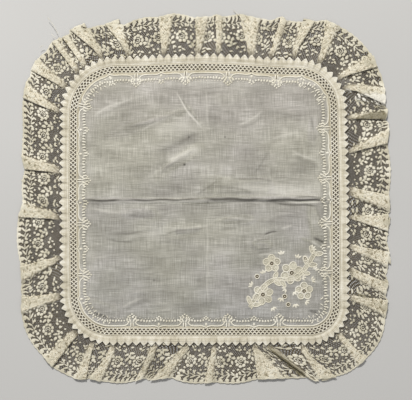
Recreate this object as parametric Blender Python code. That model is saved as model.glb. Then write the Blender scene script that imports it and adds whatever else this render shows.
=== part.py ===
"""A lady's lace handkerchief lying flat: a fine lawn square, a drawn openwork band round it,
a plain band with a sawtooth edge, and one long gathered lace frill laid in knife pleats.
Sizes are in millimetres, +Z is up, and the underside lies on the plane z = 0."""

import math

import bpy
import numpy as np

MM = 0.001

# Overall lie of the sheets
SHEET = 1.0
GAP = 0.3
CENTRE_X = -0.26
CENTRE_Y = 1.03

# Sawtooth line, clockwise from the upper left corner: four corner arcs and the sides between.
# centre_x, centre_y, radius, bow of the side that follows
CORNERS = (
    (-73.95, 73.27, 49.30, 2.9),
    (78.80, 77.70, 43.35, 0.7),
    (89.40, -89.25, 34.85, 0.2),
    (-80.30, -81.70, 42.50, 0.7),
)

# Zones, as distances out from the sawtooth line
TEETH = 140
TOOTH_DEPTH = 2.5
BAND_INNER = -8.7
BAND_RAMP_FOOT = -7.3
BAND_RAMP_HEAD = -5.5
BAND_LIFT = 1.3
OPENWORK_OUTER = BAND_INNER - GAP
OPENWORK_INNER = -16.7
LAWN_EDGE = OPENWORK_INNER - GAP
FRILL_ROOT = -5.0
FRILL_CLEAR = 0.3
FRILL_HUMP = 5.0
FRILL_FOLDED = 9.5

# Levels of the three layers of a pleat, at mid thickness
LOW = 0.5
MIDDLE = 1.9
HIGH = 3.3
TURN = 0.7
TURN_ANGLES = (0.0, 60.0, 120.0, 180.0)
EDGE_REACH = TURN + SHEET / 2
LAP_RUN = 0.5
LAP_RAMP = 3.2
LAP_MARGIN = 1.0
LEAST_LAP = 2.9
LEAST_STRETCH = 0.2
SHARPEST_MITRE = 0.8
VISIBLE = 0
HIDDEN = 1

# Near its root each pleat is only a hump: offset and share of its height for each point across it
HUMP = 2.1
HUMP_PROFILE = (
    (-2.0, 0.0),
    (-1.20, 0.0),
    (-0.90, 0.12),
    (-0.65, 0.26),
    (-0.45, 0.40),
    (-0.25, 0.55),
    (-0.05, 0.72),
    (0.20, 0.90),
    (0.60, 1.00),
    (1.00, 0.95),
    (2.00, 0.50),
    (3.00, 0.0),
)
FLAT_SHARE = 0.5

# Knife pleats, clockwise: place at the root, width there, place of the visible fold and of the
# hidden fold at the outer edge, depth of the sheet at the visible fold, at the hidden fold and at
# the end of the lap, and in the middle of the panel that follows
PLEATS = (
    (2.5, 2.5, 8.0, 15.5, 32.3, 31.4, 33.0, 31.7),
    (23.5, 3.0, 23.0, 29.0, 33.2, 33.9, 33.0, 31.4),
    (40.0, 1.0, 41.0, 43.2, 33.6, 32.0, 32.4, 32.6),
    (48.0, 1.5, 46.5, 49.2, 31.0, 30.7, 30.2, 31.0),
    (63.5, 1.5, 52.0, 60.5, 32.8, 33.0, 27.5, 27.6),
    (86.5, 1.5, 70.5, 79.0, 27.5, 31.5, 26.7, 32.2),
    (116.5, 2.0, 112.0, 123.5, 32.3, 33.9, 34.6, 32.9),
    (145.5, 2.5, 143.5, 153.5, 30.6, 30.6, 31.4, 31.2),
    (163.0, 2.0, 160.5, 165.5, 33.3, 32.6, 31.9, 33.0),
    (191.0, 3.0, 180.5, 197.0, 34.6, 31.9, 32.1, 31.0),
    (208.0, 1.0, 216.5, 220.5, 34.7, 33.6, 31.4, 30.9),
    (228.5, 1.5, 239.5, 233.5, 32.6, 33.6, 30.8, 34.6),
    (249.5, 3.0, 244.5, 249.5, 35.9, 35.6, 35.6, 35.8),
    (271.5, 2.0, 278.0, 272.0, 33.9, 36.0, 35.1, 34.1),
    (281.5, 1.5, 297.0, 289.5, 32.3, 32.2, 33.6, 32.9),
    (306.5, 1.0, 308.5, 303.0, 32.6, 33.5, 34.1, 35.1),
    (335.5, 2.0, 329.0, 318.0, 33.4, 35.4, 35.0, 35.6),
    (368.5, 6.0, 372.5, 384.5, 33.7, 34.8, 34.3, 33.5),
    (391.5, 1.5, 404.0, 391.5, 32.5, 34.7, 33.0, 31.5),
    (415.5, 2.5, 421.0, 432.0, 33.8, 35.0, 32.4, 30.9),
    (436.5, 5.0, 447.5, 456.0, 32.9, 31.1, 30.6, 30.0),
    (459.0, 3.0, 462.0, 470.0, 32.3, 30.8, 31.2, 32.9),
    (492.5, 2.0, 492.0, 495.5, 32.1, 31.1, 32.1, 32.1),
    (525.0, 1.5, 507.5, 514.5, 30.9, 31.5, 29.5, 31.0),
    (556.0, 1.5, 521.0, 517.5, 27.5, 30.2, 31.0, 28.2),
    (567.5, 1.5, 564.5, 542.0, 29.0, 27.0, 28.2, 32.4),
    (601.5, 1.5, 610.0, 604.0, 32.3, 29.8, 31.5, 31.9),
    (625.0, 2.0, 656.5, 643.0, 29.9, 26.4, 27.9, 28.4),
    (652.5, 3.0, 669.0, 663.5, 30.8, 26.9, 28.5, 32.4),
    (688.0, 2.5, 700.5, 695.5, 30.4, 28.4, 31.1, 32.9),
    (704.5, 1.5, 701.5, 706.0, 31.9, 33.5, 34.4, 34.9),
    (721.5, 4.5, 718.5, 723.5, 35.8, 35.3, 34.7, 35.6),
    (756.5, 4.5, 756.0, 749.5, 32.6, 33.2, 34.6, 33.6),
    (789.0, 2.5, 782.0, 770.0, 33.8, 30.8, 33.0, 36.4),
    (823.0, 3.0, 823.5, 834.5, 35.1, 31.2, 31.2, 32.0),
    (863.0, 4.0, 864.0, 875.0, 29.7, 32.3, 32.2, 31.4),
)

# Panels between pleats: how often they get a point along the edge, and their low ripples
PANEL_STEP = 13.0
SHORT_PANEL = 4.0
RIPPLE = 0.5
RIPPLE_LENGTH = 9.0

# Soft swells of the lawn: x, y, half length, half width, heading in degrees, height
SWELLS = (
    (-52.0, -1.1, 62.0, 2.2, -0.4, 0.8),
    (56.0, 1.3, 56.0, 2.4, 1.2, 1.3),
    (31.0, 11.5, 27.0, 6.5, 2.0, 0.7),
    (-23.0, 32.0, 24.0, 4.5, 34.0, 0.6),
    (-48.0, 66.0, 30.0, 5.0, 16.0, 0.5),
    (-55.0, -12.0, 16.0, 5.0, -6.0, 0.5),
    (-14.0, -26.0, 18.0, 6.0, 3.0, 0.5),
    (28.0, -17.0, 15.0, 4.0, 8.0, 0.5),
    (49.0, -38.0, 9.0, 3.5, -8.0, 0.7),
    (94.0, -20.0, 5.0, 20.0, 10.0, 0.8),
    (-86.0, -92.0, 13.0, 5.0, -20.0, 0.7),
    (92.0, 60.0, 5.0, 16.0, -6.0, 0.5),
)
LEAST_SWELL = 0.06
LAWN_COLUMNS = 24
LAWN_EVENNESS = 0.55
LAWN_ROWS = (
    0.0, 0.03, 0.07, 0.12, 0.18, 0.24, 0.30, 0.36, 0.41, 0.45, 0.475, 0.487, 0.495, 0.503,
    0.511, 0.521, 0.545, 0.59, 0.65, 0.71, 0.77, 0.83, 0.89, 0.94, 0.97, 1.0,
)
OPENWORK_STEPS = 96


def edge_segments():
    """Arcs and sides of the sawtooth line, clockwise, each with its length."""
    centres = [np.array(row[:2]) for row in CORNERS]
    radii = [row[2] for row in CORNERS]
    sides = []
    for i, start in enumerate(centres):
        j = (i + 1) % len(centres)
        step = centres[j] - start
        span = math.hypot(*step)
        lean = math.asin((radii[i] - radii[j]) / span)
        sides.append((math.atan2(step[1], step[0]) - lean, span * math.cos(lean)))
    segments = []
    for i, (heading, length) in enumerate(sides):
        before = sides[i - 1][0]
        turn = (before - heading) % (2 * math.pi)
        segments.append(("arc", centres[i], radii[i], before + math.pi / 2, turn * radii[i]))
        normal = np.array([-math.sin(heading), math.cos(heading)])
        segments.append(("side", centres[i] + radii[i] * normal, heading, CORNERS[i][3], length))
    return segments


SEGMENTS = edge_segments()
PERIMETER = sum(segment[-1] for segment in SEGMENTS)


def edge_point(along, out):
    """The point at this place along the sawtooth line, moved out from it."""
    along %= PERIMETER
    for kind, base, second, third, length in SEGMENTS:
        if along <= length:
            break
        along -= length
    if kind == "arc":
        angle = third - along / second
        return base + (second + out) * np.array([math.cos(angle), math.sin(angle)])
    tangent = np.array([math.cos(second), math.sin(second)])
    normal = np.array([-tangent[1], tangent[0]])
    bow = third * math.sin(math.pi * along / length) ** 2
    return base + tangent * along + normal * (out + bow)


def stretch(along, out):
    """Millimetres travelled per millimetre of the sawtooth line, at this distance out from it."""
    step = edge_point(along + 0.5, out) - edge_point(along - 0.5, out)
    return max(math.hypot(*step), LEAST_STRETCH)


def ring_point(along, out, height):
    x, y = edge_point(along, out)
    return (x, y, height)


def mesh_object(name, points, faces, material):
    mesh = bpy.data.meshes.new(name)
    shift = np.array([CENTRE_X, CENTRE_Y, 0.0])
    mesh.from_pydata([tuple((np.array(p) - shift) * MM) for p in points], [], faces)
    mesh.validate()
    mesh.update()
    made = bpy.data.objects.new(name, mesh)
    made.data.materials.append(material)
    COLLECTION.objects.link(made)
    return made


def plain_material(name, colour, roughness):
    material = bpy.data.materials.new(name)
    material.use_nodes = True
    shader = material.node_tree.nodes["Principled BSDF"]
    shader.inputs["Base Color"].default_value = (*colour, 1.0)
    shader.inputs["Roughness"].default_value = roughness
    return material


def ring_sheet(name, upper, lower, material, mirrored):
    """A closed ring of cloth from matching rows of upper and lower points, inner row first. The
    triangles lean the other way in mirrored columns, as the folds there do."""
    rows, columns = upper.shape[:2]
    points = np.concatenate([upper.reshape(-1, 3), lower.reshape(-1, 3)])
    below = rows * columns
    faces = []

    def both(*loop):
        faces.append(loop)
        faces.append(tuple(below + corner for corner in reversed(loop)))

    for i in range(columns):
        j = (i + 1) % columns
        for row in range(rows - 1):
            inner = row * columns
            outer = inner + columns
            if mirrored[i]:
                both(inner + j, outer + j, outer + i)
                both(inner + j, outer + i, inner + i)
            else:
                both(inner + j, outer + j, inner + i)
                both(outer + j, outer + i, inner + i)
        last = (rows - 1) * columns
        faces.append((last + j, below + last + j, below + last + i, last + i))
        faces.append((i, below + i, below + j, j))
    return mesh_object(name, points, faces, material)


def thickened(middle):
    """Upper and lower points of a sheet, half its thickness off a grid of mid points whose rows are
    closed rings."""
    before = np.roll(middle, 1, axis=1)
    after = np.roll(middle, -1, axis=1)
    into = middle - before
    onward = after - middle
    into /= np.linalg.norm(into, axis=2, keepdims=True)
    onward /= np.linalg.norm(onward, axis=2, keepdims=True)
    along = into + onward
    bend = np.linalg.norm(along, axis=2, keepdims=True) / 2
    across = np.gradient(middle, axis=0)
    normal = np.cross(along, across)
    normal /= np.linalg.norm(normal, axis=2, keepdims=True)
    offset = normal * SHEET / 2 / np.clip(bend, SHARPEST_MITRE, 1.0)
    upper = middle + offset
    lower = middle - offset
    lower[:, :, 2] = np.maximum(lower[:, :, 2], 0.0)
    upper[:, :, 2] = np.maximum(upper[:, :, 2], 0.0)
    return upper, lower


def pleat_section(lap_ramp, lap_end):
    """Points of a pleat in order, from the low layer before it to the end of its lap: the fold each
    is tied to where pleated and near the root, its offset from that fold, and its level."""
    section = [(VISIBLE, VISIBLE, -LAP_RUN, LOW)]
    for angle in TURN_ANGLES:
        turn = math.radians(angle)
        reach = TURN * math.sin(turn) - EDGE_REACH
        section.append((HIDDEN, VISIBLE, reach, LOW + TURN - TURN * math.cos(turn)))
    for angle in TURN_ANGLES:
        turn = math.radians(angle)
        reach = EDGE_REACH - TURN * math.sin(turn)
        section.append((VISIBLE, VISIBLE, reach, MIDDLE + TURN - TURN * math.cos(turn)))
    section.append((HIDDEN, HIDDEN, LAP_RUN, HIGH))
    section.append((HIDDEN, HIDDEN, LAP_RUN + lap_ramp / 2, (HIGH + lap_end) / 2))
    section.append((HIDDEN, HIDDEN, LAP_RUN + lap_ramp, lap_end))
    return section


def side_of(pleat):
    """+1 where the hidden fold comes after the visible one, else -1."""
    return 1 if pleat[3] > pleat[2] else -1


def lap_room(number):
    """Length of the slope on which a pleat's lap comes down past the hidden fold, and the level it
    ends at, from the room that the neighbouring pleat leaves."""
    pleat = PLEATS[number]
    side = side_of(pleat)
    neighbour = PLEATS[(number + side) % len(PLEATS)]
    facing = side_of(neighbour) != side
    reached = neighbour[3] if facing else neighbour[2]
    gap = ((reached - pleat[3]) * side) % PERIMETER
    gap *= stretch(pleat[3], pleat[5])
    room = (gap / 2 if facing else gap - LAP_MARGIN) - LAP_RUN - LAP_MARGIN / 2
    ramp = min(LAP_RAMP, room)
    lap_end = HIGH - (HIGH - LOW) * ramp / LAP_RAMP if facing else LOW
    return ramp, lap_end


def pleat_columns(number):
    """Columns of one pleat, in order along the frill: place at the root and at the edge where
    pleated, the same two near the root, depth, offset and level, and offset and rise near the root."""
    root, width, visible, hidden, depth, hidden_depth, lap_depth, _ = PLEATS[number]
    side = side_of(PLEATS[number])
    slant = (visible - root) * stretch((visible + root) / 2, depth / 2) / depth
    lean = math.hypot(1.0, slant)
    share = FRILL_FOLDED / depth
    least = (LEAST_LAP * lean - share * abs(hidden - visible)) / (1 - share)
    width = max(width, least)
    roots = (root - side * width / 2, root + side * width / 2)
    places = (visible, hidden)
    section = pleat_section(*lap_room(number))
    columns = []
    for point, hump in zip(section, HUMP_PROFILE):
        fold, near, reach, level = point
        hump_reach, rise = hump
        edge = hidden_depth if fold == HIDDEN else depth
        if near == HIDDEN:
            edge = lap_depth
        columns.append((roots[fold], places[fold], roots[near], places[near], edge,
                        side * lean * reach, level, side * lean * hump_reach, LOW + HUMP * rise,
                        side < 0))
    if side < 0:
        columns.reverse()
    return columns


def frill_columns():
    """All columns round the frill: the pleats, and the panels that join them."""
    columns = []
    count = len(PLEATS)
    for number in range(count):
        here = pleat_columns(number)
        columns.extend(here)
        last = here[-1]
        following = pleat_columns((number + 1) % count)[0]
        wrap = PERIMETER if number == count - 1 else 0.0
        start = last[1] + last[5] / stretch(last[1], last[4])
        end = following[1] + wrap + following[5] / stretch(following[1], following[4])
        width = (end - start) * stretch((start + end) / 2, last[4])
        steps = round(width / PANEL_STEP)
        if steps == 0 and width > SHORT_PANEL:
            steps = 1
        bulge = PLEATS[number][-1] - (last[4] + following[4]) / 2
        for k in range(1, steps + 1):
            share = k / (steps + 1)
            belly = math.sin(math.pi * share)
            edge = last[4] * (1 - share) + following[4] * share + bulge * belly
            root = last[0] * (1 - share) + (following[0] + wrap) * share
            place = start * (1 - share) + end * share
            lift = RIPPLE * belly * (0.5 + 0.5 * math.sin(place / RIPPLE_LENGTH))
            columns.append((root, place, root, place, edge, 0.0, LOW + lift, 0.0, LOW, False))
    return columns


def frill_grid():
    """Mid points of the frill, rows from its root to its outer edge, and which columns are mirrored."""
    columns = frill_columns()
    outs = (FRILL_ROOT, FRILL_CLEAR, FRILL_HUMP, FRILL_FOLDED)
    rows = np.zeros((len(outs) + 1, len(columns), 3))
    for k, column in enumerate(columns):
        root, place, near_root, near_place, edge, reach, level, hump_reach, hump_level, _ = column
        for row, out in enumerate((*outs, edge)):
            share = max(out - FRILL_CLEAR, 0.0) / (edge - FRILL_CLEAR)
            if out >= FRILL_FOLDED:
                along = root * (1 - share) + place * share
                shift, height = reach, level
            else:
                along = near_root * (1 - share) + near_place * share
                shift = hump_reach if out > FRILL_CLEAR else hump_reach * FLAT_SHARE
                height = hump_level if out > FRILL_CLEAR else LOW
            along += shift / stretch(along, out)
            rows[row, k] = ring_point(along, out, height)
    return rows, [column[-1] for column in columns]


def frill_sheet(material):
    middle, mirrored = frill_grid()
    upper, lower = thickened(middle)
    return ring_sheet("lace_frill", upper, lower, material, mirrored)


def band_sheet(material):
    """The plain band: three even rings, then an edge of teeth that lies over the frill's root."""
    pitch = PERIMETER / TEETH
    rings = ((BAND_INNER, 0.0), (BAND_RAMP_FOOT, 0.0), (BAND_RAMP_HEAD, BAND_LIFT))
    points = []
    for lift in (SHEET, 0.0):
        for out, height in rings:
            for tooth in range(TEETH):
                points.append(ring_point(tooth * pitch, out, height + lift))
        for tooth in range(TEETH):
            points.append(ring_point(tooth * pitch, -TOOTH_DEPTH, BAND_LIFT + lift))
            points.append(ring_point((tooth + 0.5) * pitch, 0.0, BAND_LIFT + lift))
    below = TEETH * (len(rings) + 2)
    edge = TEETH * len(rings)
    faces = []

    def both(*loop):
        faces.append(loop)
        faces.append(tuple(below + corner for corner in reversed(loop)))

    for i in range(TEETH):
        j = (i + 1) % TEETH
        for ring in range(len(rings) - 1):
            inner = ring * TEETH
            outer = inner + TEETH
            both(inner + j, outer + j, outer + i, inner + i)
        head = (len(rings) - 1) * TEETH
        valley, tip, onward = edge + 2 * i, edge + 2 * i + 1, edge + 2 * j
        both(tip, valley, head + i)
        both(head + j, tip, head + i)
        both(onward, tip, head + j)
        faces.append((tip, below + tip, below + valley, valley))
        faces.append((onward, below + onward, below + tip, tip))
        faces.append((i, below + i, below + j, j))
    return mesh_object("vandyke_band", points, faces, material)


def openwork_sheet(material):
    rows = []
    for height in (SHEET, 0.0):
        for out in (OPENWORK_INNER, OPENWORK_OUTER):
            step = PERIMETER / OPENWORK_STEPS
            rows.append([ring_point(i * step, out, height) for i in range(OPENWORK_STEPS)])
    rows = np.array(rows)
    return ring_sheet("openwork_band", rows[:2], rows[2:], material, [False] * OPENWORK_STEPS)


def swell(x, y):
    """Height of the lawn's soft swells above the table."""
    height = 0.0
    for middle_x, middle_y, half_length, half_width, heading, peak in SWELLS:
        turn = math.radians(heading)
        across_x, across_y = x - middle_x, y - middle_y
        along = (across_x * math.cos(turn) + across_y * math.sin(turn)) / half_length
        aside = (across_y * math.cos(turn) - across_x * math.sin(turn)) / half_width
        height += peak * math.exp(-(along ** 4) - aside ** 2)
    return height if height > LEAST_SWELL else 0.0


def lawn_sheet(material):
    """The lawn as a grid stretched between four quarters of its edge, each from the middle of one
    corner to the middle of the next."""
    corner_places = []
    place = 0.0
    for segment in SEGMENTS:
        if segment[0] == "arc":
            corner_places.append(place + segment[-1] / 2)
        place += segment[-1]
    upper_left, upper_right, lower_right, lower_left = corner_places

    def edge(start, end, share):
        return edge_point(start * (1 - share) + end * share, LAWN_EDGE)

    count = LAWN_COLUMNS + 1
    corner = {
        (0, 0): edge_point(lower_left, LAWN_EDGE),
        (1, 0): edge_point(lower_right, LAWN_EDGE),
        (0, 1): edge_point(upper_left, LAWN_EDGE),
        (1, 1): edge_point(upper_right, LAWN_EDGE),
    }
    points = []
    for v in LAWN_ROWS:
        for column in range(count):
            u = 0.5 - 0.5 * math.cos(math.pi * column / LAWN_COLUMNS)
            u = (1 - LAWN_EVENNESS) * u + LAWN_EVENNESS * column / LAWN_COLUMNS
            bottom = edge(lower_left, lower_right, u)
            top = edge(upper_left, upper_right, u)
            left = edge(lower_left, upper_left + PERIMETER, v)
            right = edge(lower_right, upper_right, v)
            spot = (1 - v) * bottom + v * top + (1 - u) * left + u * right
            spot -= (1 - u) * (1 - v) * corner[0, 0] + u * (1 - v) * corner[1, 0]
            spot -= (1 - u) * v * corner[0, 1] + u * v * corner[1, 1]
            points.append((spot[0], spot[1], swell(*spot)))
    lower = np.array(points)
    upper = lower + np.array([0.0, 0.0, SHEET])
    below = len(points)
    rows = len(LAWN_ROWS)
    faces = []
    for row in range(rows - 1):
        for column in range(count - 1):
            a = row * count + column
            b = a + 1
            c = b + count
            d = a + count
            faces.append((a, b, c, d))
            faces.append((below + d, below + c, below + b, below + a))
    rim = list(range(count))
    rim += [row * count + count - 1 for row in range(1, rows)]
    rim += [(rows - 1) * count + column for column in range(count - 2, -1, -1)]
    rim += [row * count for row in range(rows - 2, 0, -1)]
    for a, b in zip(rim, rim[1:] + rim[:1]):
        faces.append((a, below + a, below + b, b))
    return mesh_object("lawn_centre", np.concatenate([upper, lower]), faces, material)


for stale in list(bpy.data.objects):
    bpy.data.objects.remove(stale)
COLLECTION = bpy.data.collections.new("lace_handkerchief")
bpy.context.scene.collection.children.link(COLLECTION)

lawn_sheet(plain_material("sheer_lawn", (0.52, 0.51, 0.48), 0.9))
openwork_sheet(plain_material("openwork_cotton", (0.76, 0.72, 0.60), 0.9))
band_sheet(plain_material("plain_cotton", (0.79, 0.75, 0.64), 0.9))
frill_sheet(plain_material("cotton_lace", (0.74, 0.70, 0.58), 0.9))
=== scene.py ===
import math

import bpy
import numpy as np
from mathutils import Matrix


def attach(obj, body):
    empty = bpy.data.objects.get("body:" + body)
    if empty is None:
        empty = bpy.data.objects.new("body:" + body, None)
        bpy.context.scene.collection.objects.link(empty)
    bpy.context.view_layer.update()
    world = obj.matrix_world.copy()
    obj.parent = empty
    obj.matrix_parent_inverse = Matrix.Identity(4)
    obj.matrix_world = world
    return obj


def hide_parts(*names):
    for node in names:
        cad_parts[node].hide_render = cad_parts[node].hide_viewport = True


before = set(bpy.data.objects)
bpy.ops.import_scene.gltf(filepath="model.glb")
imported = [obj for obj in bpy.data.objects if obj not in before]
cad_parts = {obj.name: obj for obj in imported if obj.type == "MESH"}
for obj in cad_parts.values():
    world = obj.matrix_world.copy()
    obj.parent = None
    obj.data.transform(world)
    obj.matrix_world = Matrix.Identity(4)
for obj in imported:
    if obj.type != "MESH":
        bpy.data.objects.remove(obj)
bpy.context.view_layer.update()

# A lace-edged handkerchief lying flat, seen from straight above. Sizes are in millimetres.
MM = 0.001
CENTRE_X = -0.26
CENTRE_Y = 1.03
rng = np.random.default_rng(7)
# Scale of the photograph in millimetres to the pixel, its middle and its width in pixels
PIXEL = 0.85
PHOTO_MIDDLE = (204.3, 199.7)
PHOTO_WIDTH = 412

# Sawtooth line, clockwise from the upper left corner: centre x, centre y, radius, bow of next side
CORNERS = (
    (-73.95, 73.27, 49.30, 2.9),
    (78.80, 77.70, 43.35, 0.7),
    (89.40, -89.25, 34.85, 0.2),
    (-80.30, -81.70, 42.50, 0.7),
)

# Zones, as distances out from the sawtooth line
TEETH = 140
TOOTH_DEPTH = 3.4
BAND_INNER = -8.7
BAND_RAMP_FOOT = -8.2
BAND_RAMP_HEAD = -5.5
BAND_LIFT = 0.55
BAND_LEVEL = 0.80
OPENWORK_LEVEL = 0.86
LAWN_LEVEL = 0.92
OPENWORK_INNER = -16.75
LAWN_EDGE = -16.85
TOOTH_ROOT = -3.6
FRILL_ROOT = -5.0
FRILL_CLEAR = 0.3
FRILL_HUMP = 5.0
FRILL_FOLDED = 9.5

# Levels of the three layers of a pleat, pressed closer than the thicker solids
LOW = 0.45
MIDDLE = 1.25
HIGH = 2.05
TURN = 0.4
TURN_ANGLES = (0.0, 60.0, 120.0, 180.0)
EDGE_REACH = 0.5
LAP_RUN = 0.5
LAP_RAMP = 3.2
LAP_MARGIN = 1.0
LEAST_LAP = 2.9
HUMP = 1.4
HUMP_PROFILE = (
    (-2.0, 0.0), (-1.20, 0.0), (-0.90, 0.12), (-0.65, 0.26), (-0.45, 0.40), (-0.25, 0.55),
    (-0.05, 0.72), (0.20, 0.90), (0.60, 1.00), (1.00, 0.95), (2.00, 0.50), (3.00, 0.0),
)
FLAT_SHARE = 0.5
# How densely the net reads across a pleat, from single to three layers deep
FULLNESS = (0.0, 0.0, 0.0, 0.0, 0.2, 1.0, 1.0, 1.0, 1.0, 1.0, 0.25, 0.0)
PANEL_STEP = 13.0
SHORT_PANEL = 4.0
RIPPLE = 0.5
RIPPLE_LENGTH = 9.0

# Knife pleats, clockwise: root place and width, visible and hidden fold at the outer edge, depth at
# the visible fold, at the hidden fold, at the end of the lap, and in the middle of the next panel
PLEATS = (
    (2.5, 2.5, 8.0, 15.5, 32.3, 31.4, 33.0, 31.7),
    (23.5, 3.0, 23.0, 29.0, 33.2, 33.9, 33.0, 31.4),
    (40.0, 1.0, 41.0, 43.2, 33.6, 32.0, 32.4, 32.6),
    (48.0, 1.5, 46.5, 49.2, 31.0, 30.7, 30.2, 31.0),
    (63.5, 1.5, 52.0, 60.5, 32.8, 33.0, 27.5, 27.6),
    (86.5, 1.5, 70.5, 79.0, 27.5, 31.5, 26.7, 32.2),
    (116.5, 2.0, 112.0, 123.5, 32.3, 33.9, 34.6, 32.9),
    (145.5, 2.5, 143.5, 153.5, 30.6, 30.6, 31.4, 31.2),
    (163.0, 2.0, 160.5, 165.5, 33.3, 32.6, 31.9, 33.0),
    (191.0, 3.0, 180.5, 197.0, 34.6, 31.9, 32.1, 31.0),
    (208.0, 1.0, 216.5, 220.5, 34.7, 33.6, 31.4, 30.9),
    (228.5, 1.5, 239.5, 233.5, 32.6, 33.6, 30.8, 34.6),
    (249.5, 3.0, 244.5, 249.5, 35.9, 35.6, 35.6, 35.8),
    (271.5, 2.0, 278.0, 272.0, 33.9, 36.0, 35.1, 34.1),
    (281.5, 1.5, 297.0, 289.5, 32.3, 32.2, 33.6, 32.9),
    (306.5, 1.0, 308.5, 303.0, 32.6, 33.5, 34.1, 35.1),
    (335.5, 2.0, 329.0, 318.0, 33.4, 35.4, 35.0, 35.6),
    (368.5, 6.0, 372.5, 384.5, 33.7, 34.8, 34.3, 33.5),
    (391.5, 1.5, 404.0, 391.5, 32.5, 34.7, 33.0, 31.5),
    (415.5, 2.5, 421.0, 432.0, 33.8, 35.0, 32.4, 30.9),
    (436.5, 5.0, 447.5, 456.0, 32.9, 31.1, 30.6, 30.0),
    (459.0, 3.0, 462.0, 470.0, 32.3, 30.8, 31.2, 32.9),
    (492.5, 2.0, 492.0, 495.5, 32.1, 31.1, 32.1, 32.1),
    (525.0, 1.5, 507.5, 514.5, 30.9, 31.5, 29.5, 31.0),
    (556.0, 1.5, 521.0, 517.5, 27.5, 30.2, 31.0, 28.2),
    (567.5, 1.5, 564.5, 542.0, 29.0, 27.0, 28.2, 32.4),
    (601.5, 1.5, 610.0, 604.0, 32.3, 29.8, 31.5, 31.9),
    (625.0, 2.0, 656.5, 643.0, 29.9, 26.4, 27.9, 28.4),
    (652.5, 3.0, 669.0, 663.5, 30.8, 26.9, 28.5, 32.4),
    (688.0, 2.5, 700.5, 695.5, 30.4, 28.4, 31.1, 32.9),
    (704.5, 1.5, 701.5, 706.0, 31.9, 33.5, 34.4, 34.9),
    (721.5, 4.5, 718.5, 723.5, 35.8, 35.3, 34.7, 35.6),
    (756.5, 4.5, 756.0, 749.5, 32.6, 33.2, 34.6, 33.6),
    (789.0, 2.5, 782.0, 770.0, 33.8, 30.8, 33.0, 36.4),
    (823.0, 3.0, 823.5, 834.5, 35.1, 31.2, 31.2, 32.0),
    (863.0, 4.0, 864.0, 875.0, 29.7, 32.3, 32.2, 31.4),
)

# Lace pattern of one repeat: x along the strip, distance in from the outer edge
REPEAT = 18.0
ROSE_X = 12.4
ROSE_IN = 18.0
ROSE_RADIUS = 4.0
PETALS = 8
# x, distance in, length, width, heading in degrees (0 along the strip, 90 towards the root)
SPRIG_LEAVES = (
    (1.9, 18.2, 3.9, 2.4, 255), (0.2, 21.6, 3.8, 2.3, 205), (4.8, 20.4, 3.7, 2.2, 300),
    (2.2, 25.4, 3.6, 2.1, 195), (5.9, 24.3, 3.5, 2.0, 335), (3.6, 23.1, 2.6, 1.7, 250),
    (12.2, 27.4, 3.0, 1.7, 335), (15.2, 28.8, 3.2, 1.6, 25), (12.9, 30.2, 2.5, 1.5, 300),
)
OVALS = (
    (3.4, 15.2, 2.4, 1.9, 340), (6.4, 16.4, 2.2, 1.7, 70), (17.9, 22.6, 2.1, 1.6, 90),
    (8.2, 27.6, 3.2, 1.5, 30), (7.4, 28.6, 2.4, 1.2, 75), (3.6, 30.4, 2.1, 1.6, 0),
    (9.6, 31.6, 2.0, 1.5, 0),
)
STEMS = (
    (3.2, 23.8, 6.6, 0.7, 250), (4.2, 22.0, 6.0, 0.6, 320), (13.7, 28.1, 4.4, 0.6, 22),
)
# Border: round lobes on the edge behind a garland of paired leaves, GARLAND pairs in a repeat
GARLAND = 4
GARLAND_IN = 7.0
DOTS = (
    (1.2, 11.6, 2.0, 1.7, 20), (5.7, 11.0, 1.9, 1.6, 300), (10.0, 11.3, 2.1, 1.7, 40),
    (15.4, 11.7, 1.9, 1.6, 0),
)


def photo_place(x, y):
    """Millimetres from the photograph's pixels, before the part is centred."""
    return (x - PHOTO_MIDDLE[0]) * PIXEL, (PHOTO_MIDDLE[1] - y) * PIXEL


def edge_segments():
    """Arcs and sides of the sawtooth line, clockwise, each with its length."""
    centres = [np.array(row[:2]) for row in CORNERS]
    radii = [row[2] for row in CORNERS]
    sides = []
    for i, start in enumerate(centres):
        j = (i + 1) % len(centres)
        step = centres[j] - start
        span = math.hypot(*step)
        lean = math.asin((radii[i] - radii[j]) / span)
        sides.append((math.atan2(step[1], step[0]) - lean, span * math.cos(lean)))
    segments = []
    for i, (heading, length) in enumerate(sides):
        before = sides[i - 1][0]
        turn = (before - heading) % (2 * math.pi)
        segments.append(("arc", centres[i], radii[i], before + math.pi / 2, turn * radii[i]))
        normal = np.array([-math.sin(heading), math.cos(heading)])
        segments.append(("side", centres[i] + radii[i] * normal, heading, CORNERS[i][3], length))
    return segments


SEGMENTS = edge_segments()
PERIMETER = sum(segment[-1] for segment in SEGMENTS)


def edge_points(along, out):
    """Points at these places along the sawtooth line, moved out from it."""
    along, out = np.broadcast_arrays(np.mod(along, PERIMETER), np.asarray(out, float))
    found = np.zeros(along.shape + (2,))
    start = 0.0
    for kind, base, second, third, length in SEGMENTS:
        here = (along >= start) & (along <= start + length)
        run = along[here] - start
        if kind == "arc":
            angle = third - run / second
            reach = second + out[here]
            found[here] = base + np.stack([reach * np.cos(angle), reach * np.sin(angle)], -1)
        else:
            tangent = np.array([math.cos(second), math.sin(second)])
            normal = np.array([-tangent[1], tangent[0]])
            bow = third * np.sin(math.pi * run / length) ** 2
            found[here] = base + run[:, None] * tangent + (out[here] + bow)[:, None] * normal
        start += length
    return found


def bell(distance, width):
    """1 at the middle, falling off smoothly over the width."""
    return np.exp(-(distance / width) ** 2)


def between(first, second, share):
    return first * (1 - share) + second * share


def stretch(along, out):
    """Millimetres travelled per millimetre of the sawtooth line, at this distance out from it."""
    step = edge_points(along + 0.5, out) - edge_points(along - 0.5, out)
    return np.maximum(np.hypot(step[..., 0], step[..., 1]), 0.2)


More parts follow.
